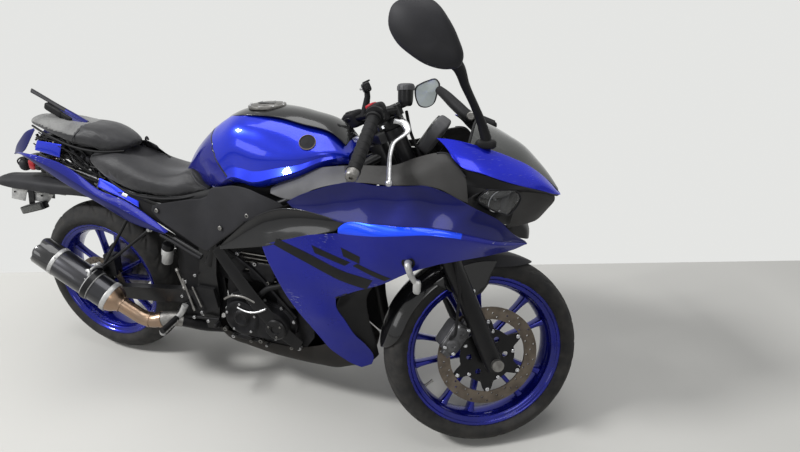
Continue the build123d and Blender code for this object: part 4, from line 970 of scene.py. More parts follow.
@dataclass
class FuelTank:
    """The tank: a hump pinched in along its sides above a flared lower band."""

    stations: Sequence = ((428, ((0, 800), (20, 798), (36, 790), (34, 786), (30, 782), (16, 780),
        (0, 778))), (460, ((0, 846), (34, 840), (52, 818), (56, 808), (54, 798), (30, 786),
        (0, 780))), (515, ((0, 904), (46, 896), (78, 866), (84, 820), (84, 796), (78, 776),
        (0, 764))), (582, ((0, 955), (58, 944), (98, 902), (112, 845), (114, 810), (106, 775),
        (0, 760))), (655, ((0, 985), (62, 980), (108, 945), (126, 885), (122, 838), (134, 812),
        (0, 765))), (726, ((0, 992), (75, 975), (118, 935), (136, 872), (130, 834), (143, 806),
        (0, 770))), (800, ((0, 985), (76, 965), (118, 925), (139, 878), (134, 850), (146, 828),
        (0, 790))), (871, ((0, 972), (74, 948), (112, 915), (133, 885), (130, 866), (142, 852),
        (0, 815))), (930, ((0, 950), (68, 934), (98, 912), (114, 896), (114, 886), (118, 876),
        (0, 850))), (975, ((0, 915), (58, 900), (76, 895), (84, 890), (88, 886), (90, 882),
        (0, 865))), (990, ((0, 895), (40, 890), (60, 886), (68, 883), (70, 881), (70, 879),
        (0, 870))))
    under: float = 26.0

    def skin(self) -> Array:
        """Closed grid: stations along x, each a ring from the top round the left and back."""
        rows = []
        for x, half in self.stations:
            lip = half[-2]
            fold = (lip[0] * 0.92, lip[1] - self.under * (0.2 if x < 440 else 0.5))
            right = [*half[:-1], fold, half[-1]]
            ring = [(x, y, z) for y, z in right]
            ring += [(x, -y, z) for y, z in right[-2:0:-1]]
            rows.append(ring)
        turned = np.swapaxes(spline(rows, 110), 0, 1)
        m = len(turned)
        half = m // 2
        left = spline(turned[: half + 1], 52, breaks=(4, 5))
        right = spline(np.concatenate([turned[half:], turned[:1]]), 52,
            breaks=(m - half - 5, m - half - 4))
        ring = np.concatenate([left[:-1], right[:-1]])
        return np.swapaxes(ring, 0, 1)

    def seam_at(self, z: Array | float) -> Array | float:
        """The x of the seam at a height: a leaning parabola."""
        return 640 - 0.62 * (z - 780) + 0.0014 * (z - 870) ** 2

    def mark_seam(self, grid: Array) -> Array:
        """Faces behind the seam arc, which carry the darker finish."""
        middle = (grid[:-1] + grid[1:]) / 2
        middle = (middle + np.roll(middle, -1, axis=1)) / 2
        x, z = middle[..., 0], middle[..., 2]
        return (x < self.seam_at(z)) & (z > 760)

    def build(self) -> None:
        """The tank's shell."""
        grid = self.skin()
        piece = Piece.instead_of("fuel_tank", (Look.BLUE, Look.TANK_REAR), "tank_enamel", sharp=30)
        before = len(piece.shell.faces)
        piece.grid(grid, closed=True, caps=True)
        marks = self.mark_seam(grid).ravel().astype(int).tolist()
        piece.shell.marks[before : before + len(marks)] = marks
        piece.build()
        self.details(grid)

    def ribbon(self, points: Sequence, half: float, rise: float) -> Array:
        """Grid of a flat ribbon with rounded edges laid along points on the tank."""
        line = spline(points, 60)
        tangent = unit(np.gradient(line, axis=0))
        out = line - np.array([700.0, 0, 800.0])
        out[:, 0] *= 0.15
        out = unit(out)
        across = unit(np.cross(tangent, out))
        turn = np.linspace(0, 2 * np.pi, 10, endpoint=False)
        section = np.stack([np.cos(turn) * half, np.sin(turn) * rise], axis=-1)
        return sweep_section(line, across, out, np.broadcast_to(section, (60, 10, 2)))

    def details(self, grid: Array) -> None:
        """The seam and the bare discs on the sides of the skin's grid."""
        seam = Piece("tank_seam", (Look.GLOSS_BLACK,), "black_trim")
        for side in SIDES:
            rows = [nearest(grid, (self.seam_at(z), side, z)) for z in np.linspace(785, 948, 16)]
            seam.grid(self.ribbon(rows, 2.6, 1.0), closed=True, caps=True)
        seam.build()
        badge = Piece("tank_discs", (Look.CAST_DARK, Look.DISC_STEEL), "machined_metal")
        for side in SIDES:
            at, out = facing(grid, (882.0, side, 921.0))
            badge.turned(at - out * 4, at + out * 3.2, ((0, 0.5), (0, 23.5), (0.8, 23.5),
                (1.0, 22.5), (1.0, 20.5), (0.86, 20.0), (0.86, 14.0), (0.94, 8.0), (0.98, 0.5)),
                48)
            badge.turned(at + out * 1.2, at + out * 3.9,
                ((0, 21.6), (1, 21.9), (1, 23.6), (0, 24.0)), 48, mark=1)
        badge.build()


def nearest(grid: Array, at: tuple[float, int, float], count: int | None = None) -> Array:
    """The grid's point, or count of them, nearest to an (x, side, z) on that side."""
    flat = grid.reshape(-1, 3)
    gap = (flat[:, 0] - at[0]) ** 2 + (flat[:, 2] - at[2]) ** 2
    gap = gap + (flat[:, 1] * at[1] < 5) * 1e9
    return flat[np.argsort(gap)[:count]] if count else flat[np.argmin(gap)]


def facing(grid: Array, at: tuple[float, int, float]) -> tuple[Array, Array]:
    """Middle of a closed grid's points near an (x, side, z), and the outward way there."""
    near = nearest(grid, at, 14)
    centre = near.mean(axis=0)
    _, _, axes = np.linalg.svd(near - centre)
    out = axes[2] * np.sign(axes[2][1] * at[1])
    return centre, out


@dataclass
class TankTop:
    """Glossy black cover along the tank's top, with the cap and its ring."""

    halves: Sequence = ((600, 30, 968), (637, 60, 984), (726, 75, 999), (790, 75, 996),
        (849, 75, 986), (948, 65, 952), (980, 58, 915))
    drop: Sequence = (4, 9, 16, 17, 20, 14, 8)
    cap_at: tuple[float, float, float] = (714, 0, 999)

    def cover(self) -> Array:
        """Thin arched plate: rows across the tank from right to left."""
        rows = []
        share = np.linspace(-1, 1, 9)
        for (x, half, top), drop in zip(self.halves, self.drop):
            rows.append(np.stack([np.full(9, x), share * half,
                top + 1.5 - drop * np.abs(share) ** 2.2], axis=1))
        return surface(np.stack(rows), 70, 40)

    def build(self) -> None:
        """Cover and ring on the tank, cap on its own hinge."""
        cover = Piece.instead_of("tank_cover", (Look.GLOSS_BLACK,), "black_trim", wall=4.0,
            bevel=1.5, closed=False)
        cover.outward_grid(self.cover(), (0, 0, 1))
        cover.build()
        cap = Piece.instead_of("fuel_cap", (Look.GLOSS_BLACK, Look.DULL_METAL, Look.CHROME),
            "black_metal", body="fuel_cap")
        at = np.array(self.cap_at, float)
        up = unit((-0.035, 0, 1.0))
        cap.turned(at - up * 5, at + up * 6, ((0, 1), (0, 56), (0.4, 57), (0.7, 56), (0.75, 50),
            (0.72, 46), (0.85, 44), (1, 40), (1, 14), (0.9, 12), (0.9, 1)), 64, mark=1)
        for turn in np.linspace(0, 2 * np.pi, 9)[:-1]:
            out = np.array([math.cos(turn), math.sin(turn), 0])
            cap.bolt(at + up * 3.0 + out * 52.5, up, 3.2, 2.2, mark=2)
        tongue = np.array([[x, y, 0] for x, y in ((-26, -7), (-26, 7), (26, 7), (26, -7))], float)
        base = at + up * 6.0
        cap.grid(np.stack([base + tongue, base + tongue + up * 2,
            base + tongue * [0.9, 0.6, 1] + up * 3]), closed=True, caps=True)
        cap.build()


# ---------------------------------------------------------------- wheels and brakes
def lump(centre: Array, axes: Sequence[Array], halves: Sequence[float], square: float = 0.3,
        steps: int = 28) -> Array:
    """Rounded block: a superquadric, |x|^(2/e) + |y|^(2/e) + |z|^(2/e) = 1 with a small e.

    Args:
        centre: Its middle.
        axes: Three unit directions.
        halves: Half size along each.
        square: The exponent e; 1 is an ellipsoid, near 0 a sharp block.
        steps: Samples round it.

    Returns:
        Closed grid from one pole to the other.
    """
    def bent(values: Array) -> Array:
        """Signed power of a sine or cosine."""
        return np.sign(values) * np.abs(values) ** square

    up = np.linspace(-np.pi / 2, np.pi / 2, steps // 2 + 1)[1:-1, None]
    turn = np.linspace(0, 2 * np.pi, steps, endpoint=False)[None, :]
    local = (bent(np.cos(up)) * bent(np.cos(turn)), bent(np.cos(up)) * bent(np.sin(turn)),
        bent(np.sin(up)) * np.ones_like(turn))
    grid = sum(part[..., None] * np.asarray(axis, float) * half
        for part, axis, half in zip(local, axes, halves))
    return grid + np.asarray(centre, float)


UPRIGHT = (np.array([1.0, 0, 0]), LEFT, np.array([0, 0, 1.0]))
ON_FORK = (STEER_AHEAD, LEFT, STEER_UP)


def flat_shape(outline: Sequence, holes: Sequence, thick: float) -> tuple[Array, list]:
    """Plate cut from a sheet: a filled 2D curve with holes, given a thickness.

    Args:
        outline: Points of the outer edge.
        holes: Points of each hole.
        thick: Thickness.

    Returns:
        Its points, in the curve's plane with the thickness along the third, and faces.
    """
    curve = bpy.data.curves.new("flat", "CURVE")
    curve.dimensions, curve.fill_mode, curve.extrude = "2D", "BOTH", thick / 2
    for points in (outline, *holes):
        points = np.asarray(points, float)
        edge = curve.splines.new("POLY")
        edge.points.add(len(points) - 1)
        flat = np.concatenate([points, np.zeros((len(points), 1)), np.ones((len(points), 1))], 1)
        edge.points.foreach_set("co", flat.ravel())
        edge.use_cyclic_u = True
    holder = bpy.data.objects.new("flat", curve)
    mesh = bpy.data.meshes.new_from_object(holder)
    made = np.array([v.co[:] for v in mesh.vertices])
    faces = [tuple(p.vertices) for p in mesh.polygons]
    bpy.data.objects.remove(holder)
    bpy.data.curves.remove(curve)
    bpy.data.meshes.remove(mesh)
    return made, faces


def ring_of(count: int, radius: float, start: float = 0.0) -> Array:
    """Evenly spaced (x, z) places on a circle, the first at start degrees."""
    turn = np.radians(start) + np.linspace(0, 2 * np.pi, count, endpoint=False)
    return np.stack([np.cos(turn), np.sin(turn)], axis=1) * radius


@dataclass
class Wheel:
    """One wheel: tyre with a grooved tread, and a rim with five split pairs of spokes."""

    name: str
    axle: Array
    radius: float
    tyre_half: float
    rim_half: float
    hub_half: float
    placing: Placing
    body: str
    pairs_at: float = 180.0
    hub_radius: float = 32.0
    barrel: float = 203.0
    groove_count: int = 26
    groove_depth: float = 3.2
    way: int = 1

    def tread_line(self) -> Array:
        """Outer (y, radius) line of the tyre from bead to bead."""
        drop = self.tyre_half - 55.0
        half, r = self.tyre_half, self.radius
        right = [(self.rim_half - 9, 226), (self.rim_half - 3.5, 231),
            (self.rim_half - 0.5, 234.5), (half - 5, 242), (half - 0.8, 251),
            (half - 2, 262 + drop * 0.1), (half * 0.86, 272 + drop * 0.3),
            (half * 0.68, 281 + drop * 0.62 + (r - 293) * 0.2), (half * 0.45, r - 5.5),
            (half * 0.22, r - 1.4), (0, r)]
        return spline(right + [(-y, z) for y, z in right[-2::-1]], 72)

    def tyre(self) -> None:
        """The tyre: the line turned about the axle, grooves pressed in, closed inside."""
        line = self.tread_line()
        steps = 520
        grid = revolve(line, steps)
        turn = np.linspace(0, self.groove_count, steps, endpoint=False)[:, None]
        across = line[None, :, 0] / self.tyre_half
        slant = np.abs(across) * 1.5 * self.way
        side_shift = np.where(across > 0, 0.5, 0.0)
        phase = (turn + slant + side_shift) % 1.0
        cut = np.clip(1.0 - np.abs(phase - 0.5) / 0.11, 0, 1)
        far = np.abs(across)
        zone = np.clip((far - 0.1) / 0.08, 0, 1) * np.clip((0.86 - far) / 0.08, 0, 1)
        second = (turn + far * 0.5 * self.way + side_shift + 0.45) % 1.0
        short = np.clip(1.0 - np.abs(second - 0.5) / 0.06, 0, 1)
        short = short * np.clip((far - 0.5) / 0.06, 0, 1) * np.clip((0.8 - far) / 0.06, 0, 1)
        depth = np.minimum(1, cut * zone * 2.5 + short * 2.0) * self.groove_depth
        flat = np.stack([grid[..., 0], grid[..., 2]], axis=-1)
        length = np.linalg.norm(flat, axis=-1)
        shrink = 1 - depth / length
        grid[..., 0] *= shrink
        grid[..., 2] *= shrink
        inside = revolve([(self.rim_half - 14, 226), (self.tyre_half - 12, 244),
            (self.tyre_half * 0.5, self.radius - 18), (0, self.radius - 12),
            (-self.tyre_half * 0.5, self.radius - 18), (12 - self.tyre_half, 244),
            (14 - self.rim_half, 226)][::-1], steps)
        whole = np.concatenate([grid, inside], axis=1) + self.axle
        piece = Piece(self.name + "_tyre_new", (Look.RUBBER,), "tyre_rubber",
            (self.name + "_tyre",), body=self.body, placing=self.placing, sharp=50)
        piece.grid(whole, closed=True, looped=True)
        piece.build()

    def rim(self) -> None:
        """The rim: stepped barrel with rolled lips, waisted hub, flaring spokes, valve."""
        half, deep = self.rim_half, self.barrel
        one = [(half - 0.5, 234.5), (half + 1, 231.5), (half - 1, 226), (half - 5, 223),
            (half - 7, 216), (half - 10, 211), (half - 17, 208), (half - 24, deep + 1),
            (half - 32, deep - 1.5)]
        outer = [(half - 4, 233), (half - 6, 222), (half - 14, 218), (half - 22, deep + 10),
            (half - 30, deep + 7)]
        seen = spline(one + [(-y, r) for y, r in one[::-1]], 64)
        hidden = [(-y, r) for y, r in outer] + outer[::-1]
        ring = revolve(np.concatenate([seen, np.array(hidden)]), 260)
        piece = Piece(self.name + "_rim_new", (Look.WHEEL_BLUE, Look.DULL_METAL),
            "blue_wheel_paint", (self.name + "_rim",), body=self.body, placing=self.placing,
            sharp=32)
        piece.grid(ring + self.axle, closed=True, looped=True)
        hub = [(-self.hub_half, 12), (-self.hub_half, self.hub_radius - 2),
            (-self.hub_half * 0.7, self.hub_radius + 1), (-self.hub_half * 0.35, 35), (0, 37),
            (self.hub_half * 0.35, 35), (self.hub_half * 0.7, self.hub_radius + 1),
            (self.hub_half, self.hub_radius - 2), (self.hub_half, 12)]
        piece.grid(revolve(hub, 64) + self.axle, closed=True, looped=True)
        for pair in range(5):
            for lean in SIDES:
                piece.grid(self.spoke(self.pairs_at + 72 * pair, lean), closed=True, caps=True)
        aim = towards(math.radians(self.pairs_at + 36))
        root = self.axle + aim * (deep + 1)
        piece.turned(root, root - aim * 32, ((0, 6), (0.2, 5), (0.25, 3.5), (0.8, 3.5), (0.8, 4.5),
            (1, 4.5), (1, 0.5)), 14, caps=True, mark=1)
        piece.build()

    def spoke(self, pair_angle: float, lean: int) -> Array:
        """One spoke: rounded section from the hub to the barrel, waisted in the middle."""
        count, around = 16, 20
        share = np.linspace(0, 1, count)
        start, end = math.radians(pair_angle + lean * 20), math.radians(pair_angle + lean * 13)
        root = towards(start) * (self.hub_radius - 3)
        tip = towards(end) * (self.barrel + 4)
        path = self.axle + mixed(root, tip, share[:, None])
        across = np.cross(unit(tip - root), LEFT)
        wide = 6.6 + 3.8 * (1 - share) ** 3 + 6.0 * share**9
        deep = 12.5 + 7 * (1 - share) ** 2 + 5.0 * share**6
        turn = np.linspace(0, 2 * np.pi, around, endpoint=False)
        c, s = np.cos(turn), np.sin(turn)
        x = np.sign(c) * np.abs(c) ** 0.5
        y = np.sign(s) * np.abs(s) ** 0.5
        section = np.stack([wide[:, None] * x, deep[:, None] * y], axis=-1)
        return (path[:, None] + across * section[..., :1] + LEFT * section[..., 1:])

    def build(self) -> None:
        """Tyre and rim."""
        self.tyre()
        self.rim()


@dataclass
class BrakeDisc:
    """Drilled ring on a black carrier with bright bolts."""

    name: str
    axle: Array
    middle: float
    radius: float
    hub_half: float
    placing: Placing
    body: str
    track: float = 37.0
    thick: float = 4.5

    def plate(self, piece: Piece, outline: Array, holes: Sequence, thick: float, at: float,
            mark: int) -> None:
        """Adds a plate lying across the axle."""
        points, faces = flat_shape(outline, holes, thick)
        placed = np.stack([points[:, 0], points[:, 2] + at, points[:, 1]], axis=1) + self.axle
        piece.shell.add(placed, faces, mark)

    def build(self) -> None:
        """Ring, carrier and bolts as one object."""
        piece = Piece(self.name + "_new", (Look.DISC_STEEL, Look.SATIN_BLACK, Look.CHROME),
            "disc_steel", (self.name,), body=self.body, placing=self.placing, sharp=40)
        inner = self.radius - self.track
        small = ring_of(9, 3.1)[::-1]
        holes = [small + ring_of(1, inner + self.track * row, turn * 20 + shift)
            for turn in range(18) for row, shift in ((0.2, 0.0), (0.5, 6.5), (0.8, 13.0))]
        self.plate(piece, ring_of(120, self.radius), [ring_of(90, inner)[::-1], *holes],
            self.thick, self.middle, 0)
        turn = np.linspace(0, 2 * np.pi, 180, endpoint=False)
        lobe = np.clip(np.cos(6 * (turn - math.radians(33))), 0, 1) ** 1.6
        edge = inner - 30 + 34 * lobe
        outline = np.stack([np.cos(turn), np.sin(turn)], axis=1) * edge[:, None]
        windows = [(ring_of(20, 9.0) + at)[::-1] for at in ring_of(6, (inner - 30) * 0.66, 3)]
        side = -1 if self.middle < 0 else 1
        off = self.middle - side * 1.0
        self.plate(piece, outline, [ring_of(24, 18)[::-1], *windows], 5.0, off, 1)
        seat = revolve([(side * (self.hub_half - 0.5), 18), (side * (self.hub_half - 0.5), 44),
            (off, 44), (off, 18)], 48) + self.axle
        piece.grid(seat, closed=True, looped=True, mark=1)
        out = side * LEFT
        for count, radius, start, size in ((6, inner - 7, 33, 6.2),
                (5, (inner - 30) * 0.93, 10, 5.6)):
            for x, z in ring_of(count, radius, start):
                at = self.axle + np.array([x, off + side * 2.4, z])
                piece.bolt(at, out, size, 4.5, mark=2)
        piece.build()


@dataclass
class FrontCaliper:
    """Cast twin-piston caliper behind the right fork leg."""

    angle: float = 148.0
    reach: float = 128.0
    disc_y: float = -60.0

    def build(self) -> None:
        """Body halves, pistons, bridge, bolts and bleed screw as one object."""
        turn = math.radians(self.angle)
        out, along, left = towards(turn), towards(turn + math.pi / 2), LEFT
        axes = (along, left, out)
        middle = FRONT_AXLE + out * self.reach + left * self.disc_y
        piece = Piece.instead_of("front_caliper", (Look.CAST_GREY, Look.DULL_METAL, Look.CHROME),
            "black_metal", body="steering", placing=STEERED, sharp=40)
        piece.block(middle - left * 25 + out * 2, axes, (46, 15, 27), 0.35, 40)
        piece.block(middle + left * 11.5 + out * 3, axes, (44, 4, 25), 0.3, 32)
        piece.block(middle - left * 10 + out * 28, axes, (40, 26, 4.5), 0.35, 28)
        for shift in (-22, 20):
            at = middle - left * 36 + along * shift + out * 1
            piece.turned(at, at - left * 6, ((0, 20), (0.6, 19), (1, 16), (1, 7), (0.6, 6),
                (0.6, 0.4)), 28)
        for shift, height in ((-40, -12), (40, -14), (36, 18), (-34, 20)):
            at = middle - left * 38 + along * shift + out * height
            piece.bolt(at, -left, 5.5, 4.5, mark=2)
        lug = middle - left * 20
        for shift in (-52, 50):
            piece.block(lug + along * shift - out * 4, axes, (10, 11, 13), 0.5, 20)
        nipple = middle - left * 26 + out * 24 + along * 30
        piece.turned(nipple, nipple + out * 7, ((0, 5), (0.4, 5), (0.4, 3), (1, 3), (1, 0.4)), 12,
            mark=1)
        for shift in np.linspace(-30, 30, 5):
            at = middle - left * 39.2 + along * shift + out * 19
            piece.block(at, axes, (1.6, 1.6, 7), 0.6, 12)
        piece.build()


class WheelSets:
    """Both wheels with their brakes."""

    def build(self) -> None:
        """Builds wheel, disc and caliper in front, then wheel and disc behind."""
        Wheel("front", FRONT_AXLE, FRONT_RADIUS, 55.0, 43.0, 50.0, STEERED, "front_wheel",
            way=-1).build()
        BrakeDisc("front_disc", FRONT_AXLE, -60.0, 149.0, 50.0, STEERED, "front_wheel").build()
        FrontCaliper().build()
        Wheel("rear", REAR_AXLE, REAR_RADIUS, 70.0, 58.0, 60.0, PARKED, "rear_wheel",
            pairs_at=162.0, groove_count=22).build()
        BrakeDisc("rear_disc", REAR_AXLE, -72.0, 110.0, 60.0, PARKED, "rear_wheel",
            track=26.0).build()


# ---------------------------------------------------------------- steered front
@dataclass
class FrontFender:
    """Mudguard: a grey beak in front running into a glossy black rounded flap behind."""

    tip_angle: float = 61.5
    end_angle: float = 177.5
    reach: float = 13.0
    wall: float = 3.0

    def shell_grid(self) -> Array:
        """Rows by angle about the axle, columns across: radius falls off towards the sides."""
        share = np.linspace(0, 1, 90)[:, None]
        angle = np.radians(self.tip_angle + (self.end_angle - self.tip_angle) * share)
        across = np.linspace(-1, 1, 33)[None, :]
        front = np.clip(share / 0.22, 0, 1)
        back = np.clip((1 - share) / 0.16, 0, 1)
        half = 63 * np.sin(np.pi / 2 * front) ** 0.55 * (1 - (1 - back) ** 2.4) ** 0.5
        half = np.maximum(half, 2.0)
        drop = 36 * np.abs(across) ** 3.4 * (half / 63) ** 1.5
        ridge = 1.6 * np.exp(-((np.abs(across) - 0.62) / 0.07) ** 2) * (half / 63)
        radius = FRONT_RADIUS + self.reach - 1.8 - drop + ridge
        x, z = radius * np.cos(angle), radius * np.sin(angle)
        y = across * half
        return np.stack([x, np.broadcast_to(y, x.shape), z], axis=-1) + FRONT_AXLE

    def stay(self, side: int) -> Array:
        """Side wing from the guard's edge down to the fork leg's bolt."""
        def place(angle: float, radius: float, left: float) -> tuple[float, float, float]:
            """Point by angle and radius about the axle."""
            turn = math.radians(angle)
            return (FRONT_AXLE[0] + radius * math.cos(turn), side * left,
                FRONT_AXLE[2] + radius * math.sin(turn))

        table = [[place(88, 284, 62), place(100, 286, 62.5), place(113, 285, 62.5),
            place(128, 280, 62)], [place(91, 250, 65), place(102, 252, 66), place(113, 252, 66),
            place(124, 252, 65)], [place(94, 216, 66), place(103, 214, 67), place(112, 214, 67),
            place(119, 218, 66)], [place(99, 196, 66), place(104, 192, 67), place(109, 192, 67),
            place(113, 197, 66)]]
        return surface(table, 22, 16)

    def build(self) -> None:
        """Guard, its two wings and their bolts as one object."""
        piece = Piece.instead_of("front_fender", (Look.GREY_TRIM, Look.GLOSS_BLACK), "black_trim",
            body="steering", placing=STEERED, wall=self.wall, bevel=1.0, closed=False, sharp=40)
        grid = self.shell_grid()
        out = np.cross(grid[1, 16] - grid[0, 16], grid[0, 17] - grid[0, 16])
        flip = bool(out @ (grid[0, 16] - FRONT_AXLE) < 0)
        piece.grid(grid, flip=flip)
        faces = (grid.shape[0] - 1) * (grid.shape[1] - 1)
        rows = np.repeat(np.arange(grid.shape[0] - 1), grid.shape[1] - 1)
        piece.shell.marks[-faces:] = (rows > 40).astype(int).tolist()
        side_pair(piece, self.stay, mark=1)
        piece.build()
        bolts = Piece("fender_bolts", (Look.CHROME,), "machined_metal", body="steering",
            placing=STEERED)
        for side in SIDES:
            turn = math.radians(106)
            at = FRONT_AXLE + np.array([math.cos(turn) * 208, side * 67.5, math.sin(turn) * 208])
            bolts.bolt(at, (0, side, 0.0), 6.0, 4.0)
        bolts.build()


@dataclass
class Handlebars:
    """Clip-on bars with ribbed grips and scuffed bar ends."""

    grip_ends: Sequence = ((-1, (999.0, -134.0, 300.0)), (1, (1052.0, -112.0, 306.0)))
    start_ahead: Sequence = ((-1, -16.0), (1, -22.0))
    tube_top: float = 1045.0
    spread: float = 95.0

    def points(self, side: int) -> tuple[Array, Array, Array]:
        """Root on the fork tube, start and end of one grip."""
        end = dict(self.grip_ends)[side]
        return (on_steering(1072, FORK_OFFSET, side * (self.spread + 2)),
            on_steering(1083, dict(self.start_ahead)[side], side * 176),
            on_steering(*end[:2], side * end[2]))

    def grip(self, start: Array, end: Array) -> Array:
        """Grip turned along its line: flange, fine ribs, thicker palm."""
        length = np.linalg.norm(end - start)
        x = np.linspace(0, 1, 150)
        radius = 15.2 + 1.2 * np.sin(np.pi * x) + 0.55 * np.sign(np.sin(x * length / 3.6))
        radius = np.where(x < 0.04, 19.5, radius)
        radius = np.where(x > 0.97, 17.0, radius)
        rows = [(0, 11.2), *zip(x, radius), (1, 11.2)]
        return turned_bar(start, end, rows, 28)

    def build(self) -> None:
        """Clamps and bars, then grips, then bar ends."""
        bars = Piece.instead_of("handlebars", (Look.SATIN_BLACK, Look.MATTE_BLACK, Look.DULL_METAL,
            Look.CHROME), "black_metal", body="steering", placing=STEERED, sharp=45)
        for side in SIDES:
            root, start, end = self.points(side)
            onward = unit(end - start)
            low = on_steering(self.tube_top - 16, FORK_OFFSET, side * self.spread)
            top = low + STEER_UP * 44
            bars.turned(low, top, ((0, 21), (0, 29), (0.05, 30.5), (0.62, 30.5), (0.68, 28),
                (0.68, 21), (0.9, 19.5), (1, 17), (1, 8), (0.9, 7), (0.9, 0.4)), 40)
            bars.turned(top - STEER_UP * 5, top + STEER_UP * 4,
                ((0, 10.5), (0.8, 10.5), (1, 9), (1, 0.4)), 6, caps=True, mark=3)
            ear = low + STEER_UP * 14 - STEER_AHEAD * 30
            bars.block(ear, ON_FORK, (12, 9, 11), 0.4, 20)
            bars.bolt(ear + side * 9.0 * LEFT, side * LEFT, 5.0, 4.0, mark=3)
            path = spline(np.stack([root, mixed(root, start, 0.55), start, start + onward * 30]),
                24)
            bars.rod(path, 11.0, 20)
            bars.grid(self.grip(start + onward * 6, end), closed=True, mark=1)
            bars.turned(end, end + onward * 20, ((0, 0.5), (0, 15.5), (0.3, 16), (0.75, 15.5),
                (0.95, 13.5), (1, 11), (1, 5), (0.8, 4.6), (0.8, 0.4)), 32, mark=2)
        bars.build()


